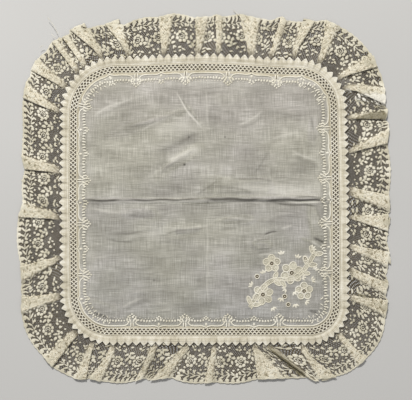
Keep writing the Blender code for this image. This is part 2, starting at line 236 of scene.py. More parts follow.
def ring_points(along, out, height):
    flat = edge_points(along, out)
    height = np.broadcast_to(height, flat.shape[:-1])
    return np.concatenate([flat, height[..., None]], -1)


PLACES = np.arange(0.0, PERIMETER, 0.25)
PLACE_POINTS = edge_points(PLACES, -18.0)


def place_of(x, y):
    """Place along the sawtooth line nearest to a pixel of the photograph."""
    away = PLACE_POINTS - np.array(photo_place(x, y))
    return PLACES[np.argmin((away ** 2).sum(-1))]


class RingLine:
    """A line round the cloth at one distance from the sawtooth line, measured along itself."""

    def __init__(self, out):
        self.places = np.linspace(0.0, PERIMETER, 6001)
        step = self.places[1]
        middle = self.places[:-1] + step / 2
        self.runs = np.concatenate([[0.0], np.cumsum(stretch(middle, out) * step)])
        self.length = self.runs[-1]

    def place(self, run):
        return np.interp(np.mod(run, self.length), self.runs, self.places)

    def run(self, place):
        return np.interp(np.mod(place, PERIMETER), self.places, self.runs)


# Meshes

def make_piece(name, points, faces, material, node, uv=None):
    """A mesh from points in millimetres and arrays of faces with equal corner counts."""
    mesh = bpy.data.meshes.new(name)
    shift = np.array([CENTRE_X, CENTRE_Y, 0.0])
    mesh.vertices.add(len(points))
    mesh.vertices.foreach_set("co", ((points - shift) * MM).astype(np.float32).ravel())
    loops = np.concatenate([np.asarray(group).ravel() for group in faces]).astype(np.int32)
    totals = np.concatenate([np.full(len(group), len(group[0])) for group in faces])
    starts = np.concatenate([[0], np.cumsum(totals)[:-1]]).astype(np.int32)
    mesh.loops.add(len(loops))
    mesh.loops.foreach_set("vertex_index", loops)
    mesh.polygons.add(len(totals))
    mesh.polygons.foreach_set("loop_start", starts)
    mesh.update(calc_edges=True)
    if uv is not None:
        layer = mesh.uv_layers.new(name="cloth")
        layer.data.foreach_set("uv", uv[loops].astype(np.float32).ravel())
    mesh.polygons.foreach_set("use_smooth", np.ones(len(totals), bool))
    mesh.materials.append(material)
    piece = bpy.data.objects.new(name, mesh)
    bpy.context.scene.collection.objects.link(piece)
    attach(piece, "root")
    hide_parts(node)
    return piece


def marked(piece, values, name):
    """Gives each point a value, such as how deep in shade or how bright it lies."""
    layer = piece.data.attributes.new(name, "FLOAT", "POINT")
    layer.data.foreach_set("value", values.astype(np.float32))
    return piece


def grid_faces(rows, columns, closed, base=0):
    """Quads of a grid whose points are row by row. A closed grid joins its last column to its first."""
    across = np.arange(columns if closed else columns - 1)
    up = np.arange(rows - 1)
    j = (across + 1) % columns
    low = up[:, None] * columns
    quads = np.stack([low + across, low + j, low + columns + j, low + columns + across], -1)
    return quads.reshape(-1, 4) + base


class Motifs:
    """Small raised shapes gathered into one mesh. Points are x, y, height on a flat pattern."""

    def __init__(self):
        self.points = []
        self.triangles = []
        self.quads = []
        self.count = 0

    def add(self, points, quads, triangles):
        """points is (shapes, corners, 3), quads and triangles index the corners of one shape."""
        shapes, corners = points.shape[:2]
        first = self.count + np.arange(shapes)[:, None, None] * corners
        self.points.append(points.reshape(-1, 3))
        self.quads.append((first + np.asarray(quads)[None]).reshape(-1, 4))
        if len(triangles):
            self.triangles.append((first + np.asarray(triangles)[None]).reshape(-1, 3))
        self.count += shapes * corners

    def leaves(self, x, y, length, width, heading, point=0.0, rise=0.22, rim=0.02, sides=8, dent=0.0):
        """Leaves with a raised ring inside the rim and a lower middle, pointed where heading goes."""
        x, y, length, width, heading = np.broadcast_arrays(
            *map(np.atleast_1d, (x, y, length, width, heading)))
        turn = np.arange(sides) * 2 * math.pi / sides
        shape_x = 0.5 * np.cos(turn)
        shape_y = 0.5 * np.sin(turn) * (1 - point * np.cos(turn))
        ring_share = 0.66
        unit = np.concatenate([
            np.stack([shape_x, shape_y], -1), np.stack([shape_x, shape_y], -1) * ring_share, [[0.0, 0.0]]])
        heights = np.concatenate([np.full(sides, rim), np.full(sides, rise), [rise * (1 - dent)]])
        local_x = unit[:, 0] * length[:, None]
        local_y = unit[:, 1] * width[:, None]
        angle = np.radians(heading)[:, None]
        points = np.stack([
            x[:, None] + local_x * np.cos(angle) - local_y * np.sin(angle),
            y[:, None] + local_x * np.sin(angle) + local_y * np.cos(angle),
            np.broadcast_to(heights, local_x.shape)], -1)
        k = np.arange(sides)
        j = (k + 1) % sides
        quads = np.stack([k, j, sides + j, sides + k], -1)
        triangles = np.stack([sides + k, sides + j, np.full(sides, 2 * sides)], -1)
        self.add(points, quads, triangles)

    def band(self, lines, width, rise):
        """Raised cords along open lines of points: (shapes, points, 2)."""
        lines = np.asarray(lines, float)
        step = np.gradient(lines, axis=1)
        step /= np.linalg.norm(step, axis=-1, keepdims=True)
        side = np.stack([-step[..., 1], step[..., 0]], -1)
        profile = ((-0.5, 0.0), (-0.3, 0.8), (0.0, 1.0), (0.3, 0.8), (0.5, 0.0))
        rows = []
        for offset, height in profile:
            flat = lines + side * offset * width
            rows.append(np.concatenate([flat, np.full(flat.shape[:2] + (1,), height * rise)], -1))
        points = np.concatenate(rows, 1)
        self.add(points, grid_faces(len(profile), lines.shape[1], False), [])

    def rings(self, x, y, radius, width, rise, sides=12, start=0.0, sweep=360.0):
        """Round raised rings, or arcs of them."""
        x, y, radius = np.broadcast_arrays(*map(np.atleast_1d, (x, y, radius)))
        closed = sweep >= 360.0
        steps = sides if closed else sides + 1
        turn = np.radians(start + sweep * np.arange(steps) / sides)
        start_turn = np.broadcast_to(turn, (len(x), steps))
        profile = ((-0.5, 0.0), (-0.25, 0.85), (0.0, 1.0), (0.25, 0.85), (0.5, 0.0))
        rows = []
        for offset, height in profile:
            reach = radius[:, None] + offset * width
            rows.append(np.stack([
                x[:, None] + reach * np.cos(start_turn), y[:, None] + reach * np.sin(start_turn),
                np.full(start_turn.shape, height * rise)], -1))
        self.add(np.concatenate(rows, 1), grid_faces(len(profile), steps, closed), [])

    def flat_points(self):
        return np.concatenate(self.points)

    def faces(self):
        return [np.concatenate(group) for group in (self.quads, self.triangles) if group]


# Materials

# Distances between threads, and the slant of the net's
LAWN_THREAD = 0.36
NET_PITCH = 1.6
NET_LEAN = 0.62


def new_material(name):
    material = bpy.data.materials.new(name)
    material.use_nodes = True
    tree = material.node_tree
    return material, tree, tree.nodes["Principled BSDF"]


def link(tree, start, end):
    tree.links.new(start, end)


def attribute(tree, name):
    """Value that the points carry under this name."""
    node = tree.nodes.new("ShaderNodeAttribute")
    node.attribute_name = name
    return node.outputs["Fac"]


def laid_place(tree):
    """Place on the flat cloth, in millimetres."""
    node = tree.nodes.new("ShaderNodeUVMap")
    node.uv_map = "cloth"
    return node.outputs["UV"]


def x_and_y(tree, place):
    parts = tree.nodes.new("ShaderNodeSeparateXYZ")
    link(tree, place, parts.inputs[0])
    return parts.outputs[0], parts.outputs[1]


def math_node(tree, operation, *values):
    node = tree.nodes.new("ShaderNodeMath")
    node.operation = operation
    for socket, value in zip(node.inputs, values):
        if hasattr(value, "node"):
            link(tree, value, socket)
        else:
            socket.default_value = value
    return node.outputs[0]


def weighted(tree, first, share, second, other):
    """The sum of two values, each times its share."""
    return math_node(tree, "MULTIPLY_ADD", first, share, math_node(tree, "MULTIPLY", second, other))


def stretched_noise(tree, coordinates, scale, detail, roughness=0.55):
    """Noise whose scale, in cells per millimetre, differs by direction."""
    mapping = tree.nodes.new("ShaderNodeMapping")
    mapping.inputs["Scale"].default_value = scale
    link(tree, coordinates, mapping.inputs["Vector"])
    noise = tree.nodes.new("ShaderNodeTexNoise")
    noise.inputs["Scale"].default_value = 1.0
    noise.inputs["Detail"].default_value = detail
    noise.inputs["Roughness"].default_value = roughness
    link(tree, mapping.outputs["Vector"], noise.inputs["Vector"])
    return noise.outputs["Fac"]


def ramp(tree, value, stops):
    node = tree.nodes.new("ShaderNodeValToRGB")
    elements = node.color_ramp.elements
    while len(elements) < len(stops):
        elements.new(0.5)
    for element, (position, colour) in zip(elements, stops):
        element.position = position
        element.color = (*colour, 1.0)
    link(tree, value, node.inputs["Fac"])
    return node.outputs["Color"]


def mix_colour(tree, factor, first, second, blend="MIX"):
    node = tree.nodes.new("ShaderNodeMix")
    node.data_type = "RGBA"
    node.blend_type = blend
    for name, value in (("Factor", factor), (6, first), (7, second)):
        socket = node.inputs[name]
        if hasattr(value, "node"):
            link(tree, value, socket)
        elif isinstance(value, tuple):
            socket.default_value = (*value, 1.0)
        else:
            socket.default_value = value
    return node.outputs[2]


def object_millimetres(tree):
    coordinates = tree.nodes.new("ShaderNodeTexCoord")
    mapping = tree.nodes.new("ShaderNodeMapping")
    mapping.inputs["Scale"].default_value = (1000.0, 1000.0, 1000.0)
    link(tree, coordinates.outputs["Object"], mapping.inputs["Vector"])
    return mapping.outputs["Vector"]


def bump(tree, shader, height, strength, distance):
    node = tree.nodes.new("ShaderNodeBump")
    node.inputs["Strength"].default_value = strength
    node.inputs["Distance"].default_value = distance * MM
    link(tree, height, node.inputs["Height"])
    link(tree, node.outputs["Normal"], shader.inputs["Normal"])


def cloth_finish(shader, roughness=0.88, sheen=0.25):
    shader.inputs["Roughness"].default_value = roughness
    shader.inputs["Sheen Weight"].default_value = sheen
    shader.inputs["Sheen Roughness"].default_value = 0.6
    shader.inputs["Specular IOR Level"].default_value = 0.25


def weave_height(tree, place, pitch):
    """Plain weave: crossing rows of threads, as a height from 0 to 1."""
    warp, weft = (math_node(tree, "SINE", math_node(tree, "MULTIPLY", axis, 2 * math.pi / pitch))
                  for axis in x_and_y(tree, place))
    return math_node(tree, "MULTIPLY_ADD", math_node(tree, "MULTIPLY", warp, weft), 0.5, 0.5)


def lawn_material():
    """Sheer grey-white lawn with uneven threads both ways, bluer towards the bottom."""
    material, tree, shader = new_material("sheer_lawn")
    place = object_millimetres(tree)
    weft = stretched_noise(tree, place, (0.070, 2.0, 1.0), 2.0)
    warp = stretched_noise(tree, place, (2.1, 0.065, 1.0), 2.0)
    patch = stretched_noise(tree, place, (0.035, 0.06, 1.0), 3.0)
    threads = math_node(tree, "ADD", weft, warp)
    tone = weighted(tree, threads, 0.34, patch, 0.32)
    slub = ramp(tree, tone, (
        (0.38, (0.285, 0.272, 0.232)), (0.50, (0.42, 0.402, 0.350)), (0.61, (0.62, 0.60, 0.54))))
    hue = stretched_noise(tree, place, (0.011, 0.016, 1.0), 2.0)
    slub = mix_colour(tree, 1.0, slub, ramp(tree, hue, (
        (0.38, (1.0, 1.0, 0.96)), (0.50, (0.99, 0.985, 0.975)), (0.62, (0.985, 0.97, 0.995)))), "MULTIPLY")
    blue = stretched_noise(tree, place, (0.012, 0.012, 1.0), 2.0)
    lower = math_node(tree, "MULTIPLY_ADD", x_and_y(tree, place)[1], -0.0042, 0.42)
    tinge = math_node(tree, "MULTIPLY", lower, math_node(tree, "MULTIPLY", blue, 1.5))
    clamped = math_node(tree, "MINIMUM", math_node(tree, "MAXIMUM", tinge, 0.0), 1.0)
    colour = mix_colour(tree, clamped, slub, (0.83, 0.86, 0.915), "MULTIPLY")
    # Painted light and painted shade of the folds and the whitework, and the darker specks
    colour = mix_colour(tree, attribute(tree, "light"), colour, (0.80, 0.775, 0.70))
    colour = mix_colour(tree, attribute(tree, "shade"), colour, (0.10, 0.093, 0.078))
    link(tree, colour, shader.inputs["Base Color"])
    cloth_finish(shader, 0.85, 0.3)
    weave = math_node(tree, "MULTIPLY", weave_height(tree, place, LAWN_THREAD), 0.5)
    height = math_node(tree, "ADD", threads, weave)
    wrinkle = stretched_noise(tree, place, (0.030, 0.20, 1.0), 3.0)
    height = math_node(tree, "MULTIPLY_ADD", wrinkle, 7.0, height)
    bump(tree, shader, height, 0.55, 0.25)
    return material


def cotton_material(name, dark, middle, light, pitch, patch=0.05, shade=None, lightened=None,
                    wrinkles=False, fold_shaded=False):
    """Woven or stitched cotton with slow changes of colour and a thread relief."""
    material, tree, shader = new_material(name)
    place = object_millimetres(tree)
    slow = stretched_noise(tree, place, (patch, patch, patch), 3.0)
    fine = stretched_noise(tree, place, (1.4, 1.4, 1.4), 2.0)
    mixed = weighted(tree, fine, 0.35, slow, 0.65)
    if wrinkles:
        laid = laid_place(tree)
        across = stretched_noise(tree, laid, (0.42, 0.10, 1.0), 2.0)
        lines = stretched_noise(tree, laid, (0.03, 1.3, 1.0), 2.0)
        creased = weighted(tree, across, 0.45, lines, 0.55)
        mixed = weighted(tree, creased, 0.55, mixed, 0.45)
    # With wrinkles, the colour also darkens and lightens along the creases, as painted shade and light,
    # besides their relief
    colour = ramp(tree, mixed, ((0.36, dark), (0.50, middle), (0.62, light)))
    # Painted shade of the lace's folds, and its lighter brightest fold
    if fold_shaded:
        colour = colour_fold_shading(tree, colour)
    # Painted shade and painted highlights, in the amounts the points carry
    for mark, tint in (("shade", shade), ("light", lightened)):
        if tint:
            colour = mix_colour(tree, attribute(tree, mark), colour, tint)
    link(tree, colour, shader.inputs["Base Color"])
    cloth_finish(shader)
    height = weighted(tree, fine, 0.6, weave_height(tree, place, pitch), 0.4)
    if wrinkles:
        height = math_node(tree, "MULTIPLY_ADD", creased, 8.0, height)
    bump(tree, shader, height, 0.5, 0.2)
    return material


def colour_fold_shading(tree, colour):
    """Painted olive shade in and beside the lifted folds, and a lighter white on the brightest one."""
    for name, tint in (("painted_fold_shade", (0.12, 0.10, 0.045)), ("lightened", (0.93, 0.91, 0.84))):
        colour = mix_colour(tree, attribute(tree, name), colour, tint)
    return colour


def net_material():
    """Diamond net of the lace ground: crossing threads, clear between them."""
    material, tree, shader = new_material("lace_net")
    laid = laid_place(tree)
    along, across = x_and_y(tree, laid)
    threads = []
    for lean in (NET_LEAN, -NET_LEAN):
        lay = math_node(tree, "MULTIPLY_ADD", across, lean, along)
        threads.append(math_node(tree, "PINGPONG", math_node(tree, "MULTIPLY", lay, 1 / NET_PITCH), 0.5))
    full = attribute(tree, "fullness")
    nearest = math_node(tree, "MINIMUM", threads[0], threads[1])
    reach = math_node(tree, "MULTIPLY_ADD", full, 0.18, 0.165)
    solid = math_node(tree, "LESS_THAN", nearest, reach)
    link(tree, solid, shader.inputs["Alpha"])
    place = object_millimetres(tree)
    slow = stretched_noise(tree, place, (0.06, 0.06, 0.06), 3.0)
    single = ramp(tree, slow, (
        (0.35, (0.060, 0.043, 0.020)), (0.52, (0.085, 0.063, 0.032)), (0.66, (0.128, 0.100, 0.058))))
    speckle = stretched_noise(tree, laid, (0.42, 0.42, 1.0), 2.0)
    layered = ramp(tree, weighted(tree, speckle, 0.8, slow, 0.2), (
        (0.38, (0.30, 0.26, 0.17)), (0.46, (0.58, 0.52, 0.385)), (0.55, (0.82, 0.755, 0.60))))
    colour = mix_colour(tree, full, single, layered)
    # The net gets the same painted fold shade as the lace
    link(tree, colour_fold_shading(tree, colour), shader.inputs["Base Color"])
    cloth_finish(shader, 0.9, 0.1)
    return material


def floor_material():
    material, tree, shader = new_material("pale_floor")
    place = object_millimetres(tree)
    slow = stretched_noise(tree, place, (0.004, 0.004, 1.0), 2.0)
    link(tree, ramp(tree, slow, ((0.3, (0.56, 0.556, 0.545)), (0.7, (0.59, 0.586, 0.575)))),
         shader.inputs["Base Color"])
    shader.inputs["Roughness"].default_value = 0.9
    shader.inputs["Specular IOR Level"].default_value = 0.1
    return material


def shade_material(name, colour):
    """Painted shade for the dark inside of an eyelet or a slit."""
    material, tree, shader = new_material(name)
    fine = stretched_noise(tree, object_millimetres(tree), (2.2, 2.2, 2.2), 2.0)
    darker = tuple(0.55 * part for part in colour)
    link(tree, ramp(tree, fine, ((0.35, darker), (0.65, colour))), shader.inputs["Base Color"])
    cloth_finish(shader, 0.95, 0.0)
    return material


LAWN = lawn_material()
# The band's shade and lightened colours are painted shade and painted highlights on its folds, ridges and
# points
BAND = cotton_material(
    "plain_cotton", (0.43, 0.385, 0.275), (0.655, 0.60, 0.465), (0.86, 0.82, 0.71), 0.45,
    shade=(0.30, 0.265, 0.19), lightened=(0.93, 0.90, 0.80), wrinkles=True)
# Its shade colour paints the shade inside the holes
OPENWORK = cotton_material(
    "openwork_cotton", (0.42, 0.375, 0.265), (0.545, 0.495, 0.375), (0.67, 0.62, 0.49), 0.5,
    shade=(0.125, 0.10, 0.065))
STITCHING = cotton_material(
    "white_stitching", (0.66, 0.62, 0.49), (0.79, 0.75, 0.63), (0.87, 0.84, 0.745), 0.4, 0.08)
LACE = cotton_material(
    "cotton_lace", (0.50, 0.46, 0.34), (0.685, 0.64, 0.505), (0.84, 0.80, 0.675), 0.5, 0.06, fold_shaded=True)
SPRAY = cotton_material(
    "spray_cotton", (0.36, 0.335, 0.26), (0.50, 0.47, 0.37), (0.66, 0.63, 0.51), 0.45, 0.2)
SHADOW = shade_material("thread_shadow", (0.16, 0.13, 0.085))
NET = net_material()


# Frill: where its pleats lie

def side_of(pleat):
    """+1 where the hidden fold comes after the visible one, else -1."""
    return 1 if pleat[3] > pleat[2] else -1


def pleat_section(lap_ramp, lap_end):
    """Points of a pleat in order: tied to the hidden fold or not, the same near the root, offset, level."""
    section = [(0, 0, -LAP_RUN, LOW)]
    for angle in TURN_ANGLES:
        turn = math.radians(angle)
        section.append((1, 0, TURN * math.sin(turn) - EDGE_REACH, LOW + TURN - TURN * math.cos(turn)))
    for angle in TURN_ANGLES:
        turn = math.radians(angle)
        section.append((0, 0, EDGE_REACH - TURN * math.sin(turn), MIDDLE + TURN - TURN * math.cos(turn)))
    section.append((1, 1, LAP_RUN, HIGH))
    section.append((1, 1, LAP_RUN + lap_ramp / 2, (HIGH + lap_end) / 2))
    section.append((1, 1, LAP_RUN + lap_ramp, lap_end))
    return section


def lap_room(number):
    """Length of the slope past the hidden fold and the level it ends at."""
    pleat = PLEATS[number]
    side = side_of(pleat)
    neighbour = PLEATS[(number + side) % len(PLEATS)]
    facing = side_of(neighbour) != side
    reached = neighbour[3] if facing else neighbour[2]
    gap = ((reached - pleat[3]) * side) % PERIMETER
    gap *= float(stretch(pleat[3], pleat[5]))
    room = (gap / 2 if facing else gap - LAP_MARGIN) - LAP_RUN - LAP_MARGIN / 2
    slope = min(LAP_RAMP, room)
    return slope, HIGH - (HIGH - LOW) * slope / LAP_RAMP if facing else LOW


def pleat_columns(number):
    root, width, visible, hidden, depth, hidden_depth, lap_depth, _ = PLEATS[number]
    side = side_of(PLEATS[number])
    slant = (visible - root) * float(stretch((visible + root) / 2, depth / 2)) / depth
    lean = math.hypot(1.0, slant)
    share = FRILL_FOLDED / depth
    width = max(width, (LEAST_LAP * lean - share * abs(hidden - visible)) / (1 - share))
    roots = (root - side * width / 2, root + side * width / 2)
    places = (visible, hidden)
    columns = []
    for point, hump, full in zip(pleat_section(*lap_room(number)), HUMP_PROFILE, FULLNESS):
        fold, near, reach, level = point
        edge = lap_depth if near else (hidden_depth if fold else depth)
        columns.append((roots[fold], places[fold], roots[near], places[near], edge,
                        side * lean * reach, level, side * lean * hump[0], LOW + HUMP * hump[1], full))
    return columns if side > 0 else columns[::-1]


def frill_columns():
    """Columns round the frill, and the first one again at the end."""
    columns = []
    count = len(PLEATS)
    for number in range(count):
        here = pleat_columns(number)
        columns.extend(here)
        last = here[-1]
        following = pleat_columns((number + 1) % count)[0]
        wrap = PERIMETER if number == count - 1 else 0.0
        start = last[1] + last[5] / float(stretch(last[1], last[4]))
        end = following[1] + wrap + following[5] / float(stretch(following[1], following[4]))
        width = (end - start) * float(stretch((start + end) / 2, last[4]))
        steps = round(width / PANEL_STEP)
        if steps == 0 and width > SHORT_PANEL:
            steps = 1
        bulge = PLEATS[number][-1] - (last[4] + following[4]) / 2
        for k in range(1, steps + 1):
            share = k / (steps + 1)
            belly = math.sin(math.pi * share)
            edge = between(last[4], following[4], share) + bulge * belly
            root = between(last[0], following[0] + wrap, share)
            place = between(start, end, share)
            lift = RIPPLE * belly * (0.5 + 0.5 * math.sin(place / RIPPLE_LENGTH))
            columns.append((root, place, root, place, edge, 0.0, LOW + lift, 0.0, LOW, 0.0))
    columns = np.array(columns)
    again = columns[:1].copy()
    again[:, :4] += PERIMETER
    return np.concatenate([columns, again])


COLUMNS = frill_columns()


def column_values(column):
    low = np.clip(np.floor(column).astype(int), 0, len(COLUMNS) - 2)
    share = (column - low)[..., None]
    return between(COLUMNS[low], COLUMNS[low + 1], share)


def frill_points(column, out):
    """Mid points of the lace at fractional columns and distances out from the sawtooth line."""
    root, place, near_root, near_place, edge, reach, level, hump_reach, hump_level, _ = np.moveaxis(
        column_values(column), -1, 0)
    span = edge - FRILL_CLEAR
    rows = []
    for line in (FRILL_ROOT, FRILL_CLEAR, FRILL_HUMP, FRILL_FOLDED, edge):
        share = np.maximum(line - FRILL_CLEAR, 0.0) / span
        if line is edge or line == FRILL_FOLDED:
            along = between(root, place, share)
            shift, height = reach, level
        else:
            along = between(near_root, near_place, share)
            shift = hump_reach if line > FRILL_CLEAR else hump_reach * FLAT_SHARE
            height = hump_level if line > FRILL_CLEAR else np.full(along.shape, LOW)
        along = along + shift / stretch(along, line)
        rows.append(ring_points(along, line, height))
    rows = np.stack(rows, -2)
    outs = np.stack(np.broadcast_arrays(FRILL_ROOT, FRILL_CLEAR, FRILL_HUMP, FRILL_FOLDED, edge), -1)
    row = np.clip((out[..., None] > outs).sum(-1) - 1, 0, 3)[..., None]
    low = np.take_along_axis(outs, row, -1)[..., 0]
    high = np.take_along_axis(outs, row + 1, -1)[..., 0]
    share = ((out - low) / (high - low))[..., None]
    start = np.take_along_axis(rows, row[..., None], -2)[..., 0, :]
    end = np.take_along_axis(rows, row[..., None] + 1, -2)[..., 0, :]
    return between(start, end, share)


# Length of the strip from the first column, measured where the roses lie
FINE = np.linspace(0, len(COLUMNS) - 1, (len(COLUMNS) - 1) * 6 + 1)
FINE_EDGE = column_values(FINE)[:, 4]
FINE_POINTS = frill_points(FINE, FINE_EDGE * 0.55)
STRIP = np.concatenate([[0.0], np.cumsum(np.linalg.norm(np.diff(FINE_POINTS, axis=0), axis=-1))])
STRIP_LENGTH = STRIP[-1]
REPEATS = round(STRIP_LENGTH / REPEAT)
PITCH = STRIP_LENGTH / REPEATS


def lace_points(flat):
    """Puts points of the flat strip (along, in from the outer edge, height) on the pleated lace."""
    column = np.interp(np.mod(flat[:, 0], STRIP_LENGTH), STRIP, FINE)
    edge = np.interp(column, FINE, FINE_EDGE)
    out = np.maximum(edge - flat[:, 1], FRILL_ROOT + 0.2)
    points = frill_points(column, out)
    points[:, 2] += flat[:, 2]
    return points


# Length of the net's quads, and how far it stops short of the outer edge
NET_STEP = 2.2
NET_HEM = 1.4


def net_piece():
    """The lace ground: one continuous sheet along the whole strip."""
    steps = int(STRIP_LENGTH / NET_STEP)
    even = np.interp(np.linspace(0, STRIP_LENGTH, steps), STRIP, FINE)
    column = np.unique(np.round(np.concatenate([even, np.arange(len(COLUMNS) - 1)]), 4))
    column = column[column < len(COLUMNS) - 1]
    strip = np.interp(column, FINE, STRIP)
    edge = column_values(column)[:, 4]
    near_root = (FRILL_ROOT, -2.0, FRILL_CLEAR, 2.6, FRILL_HUMP, 7.2, FRILL_FOLDED)
    outs = [np.full(len(column), out) for out in near_root]
    for share in np.linspace(0, 1, 10)[1:]:
        outs.append(FRILL_FOLDED + (edge - NET_HEM - FRILL_FOLDED) * share)
    points = np.concatenate([frill_points(column, out) for out in outs])
    uv = np.concatenate([np.stack([strip, edge - out], -1) for out in outs])
    quads = grid_faces(len(outs), len(column), True)
    piece = make_piece("frill_net", points, [quads], NET, "lace_frill", uv)
    full = column_values(column)[:, 9]
    fullness = np.concatenate([full * np.clip((out + 2.0) / 6.0, 0.0, 1.0) for out in outs])
    marked(piece, fullness, "fullness")
    # The net's threads run on past the join of the strip
    layer = piece.data.uv_layers["cloth"].data
    values = np.zeros(len(layer) * 2, np.float32)
    layer.foreach_get("uv", values)
    values = values.reshape(-1, 4, 2)
    torn = values[:, :, 0].max(1) - values[:, :, 0].min(1) > STRIP_LENGTH / 2
    late = torn[:, None] & (values[:, :, 0] < STRIP_LENGTH / 2)
    values[:, :, 0][late] += STRIP_LENGTH
    layer.foreach_set("uv", values.ravel())
    return mark_fold_shading(piece, points, fullness)


def repeated(table, jitter=0.18, turn=5.0):
    """Rows of a pattern table laid out on every repeat of the strip, each a little different."""
    table = np.array(table, float)
    start = np.arange(REPEATS)[:, None] * PITCH
    shape = (REPEATS, len(table))
    x = start + table[:, 0] * PITCH / REPEAT + rng.normal(0, jitter, shape)
    y = table[:, 1] + rng.normal(0, jitter, shape)
    length = table[:, 2] * (1 + rng.normal(0, 0.05, shape))
    width = table[:, 3] * (1 + rng.normal(0, 0.05, shape))
    heading = table[:, 4] + rng.normal(0, turn, shape)
    return [part.ravel() for part in (x, y, length, width, heading)]


def rose_table():
    rows = []
    for k in range(PETALS):
        turn = 360.0 / PETALS * k + 12.0
        angle = math.radians(turn)
        rows.append((ROSE_X + ROSE_RADIUS * math.cos(angle), ROSE_IN + ROSE_RADIUS * math.sin(angle),
                     3.0, 2.5 + 0.3 * (k % 2), turn + 90.0))
    return rows


def border_table():
    """Lobes, garland leaves and dots of one repeat of the border."""
    leaves = list(DOTS)
    for k in range(GARLAND):
        x = REPEAT / GARLAND * k
        middle = GARLAND_IN + 0.9 * math.sin(math.tau * k / GARLAND)
        leaves.append((x + 2.2, 2.2, 3.7, 3.2, 270))
        leaves.append((x + 1.7, middle - 2.0, 4.8, 1.5, 316))
        if k < GARLAND - 1:
            leaves.append((x + 1.7, middle + 1.7, 4.4, 1.4, 44))
            leaves.append((x + 2.2, middle + 0.2, 4.6, 0.8, 6))
        else:
            leaves += [(x + 0.6, middle + 2.4, 3.3, 2.2, 80), (x + 3.2, middle + 2.0, 3.1, 2.1, 118),
                       (x + 2.8, middle - 0.4, 2.4, 1.8, 20)]
    return leaves


# Places of the frill with painted shade of its folds, and the lighter brightest fold: corners in photograph
# pixels, tint, amount
SHADED_FOLD_PLACES = (
    (((356, 120), (360, 116), (370, 112.5), (384, 110.5), (387, 114), (386, 119), (372, 120)),
     "painted_fold_shade", 0.72),
    (((374, 107), (386, 103), (389, 108), (380, 110)), "painted_fold_shade", 0.42),
    (((345, 88), (349, 96), (358, 100), (370, 102.5), (384, 106), (391, 101), (387, 94), (374, 93),
      (360, 94)), "lightened", 0.62),
    (((140, 365), (150, 352), (158, 356), (154, 378), (142, 380)), "painted_fold_shade", 0.18),
    (((266, 345), (270, 344.5), (304, 370.5), (306, 376), (300, 374.5), (284, 361.5)), "painted_fold_shade", 0.45),
    (((266, 346), (285, 359), (304, 373.5), (306, 378), (298, 374.5), (282, 362)), "painted_fold_shade", 0.9),
    (((354, 292.9), (374, 296.6), (374, 298.2), (354, 295)), "painted_fold_shade", 0.85),
    (((346, 91.2), (360, 98.6), (385, 104.2), (385, 106), (358, 100.8), (346, 93.2)), "painted_fold_shade", 0.8),
)


# Marks where the painted shade of the folds falls, and the lighter brightest fold
def mark_fold_shading(piece, points, full=None):
    amounts = {"painted_fold_shade": np.zeros(len(points)), "lightened": np.zeros(len(points))}
    for corners, name, amount in SHADED_FOLD_PLACES:
        loop = np.array([photo_place(*corner) for corner in corners])
        inside = np.zeros(len(points), bool)
        for start, end in zip(loop, np.roll(loop, -1, 0)):
            crossed = (start[1] > points[:, 1]) != (end[1] > points[:, 1])
            at = start[0] + (points[:, 1] - start[1]) / (end[1] - start[1] + 1e-9) * (end[0] - start[0])
            inside ^= crossed & (points[:, 0] < at)
        amounts[name][inside] = amount
    if full is not None:
        amounts["lightened"] *= full > 0.5
    for name, values in amounts.items():
        marked(piece, values, name)
    return piece


def lace_motifs():
    """Roses, leaf sprigs and the garland border of the lace, as three joined meshes."""
    roses = Motifs()
    roses.leaves(*repeated(rose_table(), 0.08, 8.0), sides=9, dent=0.5)
    middle_x = np.arange(REPEATS) * PITCH + ROSE_X * PITCH / REPEAT
    roses.rings(middle_x, ROSE_IN, 1.8, 0.8, 0.22, 12, 250.0, 290.0)
    roses.leaves(middle_x, ROSE_IN, 1.3, 1.1, 0.0)
    sprigs = Motifs()
    sprigs.leaves(*repeated(SPRIG_LEAVES), point=0.35, sides=9, dent=0.35)
    sprigs.leaves(*repeated(OVALS), dent=0.1)
    sprigs.leaves(*repeated(STEMS, 0.1, 3.0), rise=0.18)
    border = Motifs()
    border.leaves(*repeated(border_table(), 0.28, 9.0), point=0.1, sides=9, dent=0.45)
    along = np.arange(0.0, STRIP_LENGTH, 0.75)
    scallop = 0.55 * np.abs(np.sin(np.pi * along * GARLAND / PITCH)) ** 0.8
    border.band(np.stack([along, 1.25 - scallop], -1)[None], 1.1, 0.16)
    made = []
    for name, motifs in (("frill_roses", roses), ("frill_sprigs", sprigs), ("frill_border", border)):
        points = lace_points(motifs.flat_points())
        piece = make_piece(name, points, motifs.faces(), LACE, "lace_frill")
        made.append(mark_fold_shading(piece, points))
    return made


# Lawn, openwork and sawtooth band

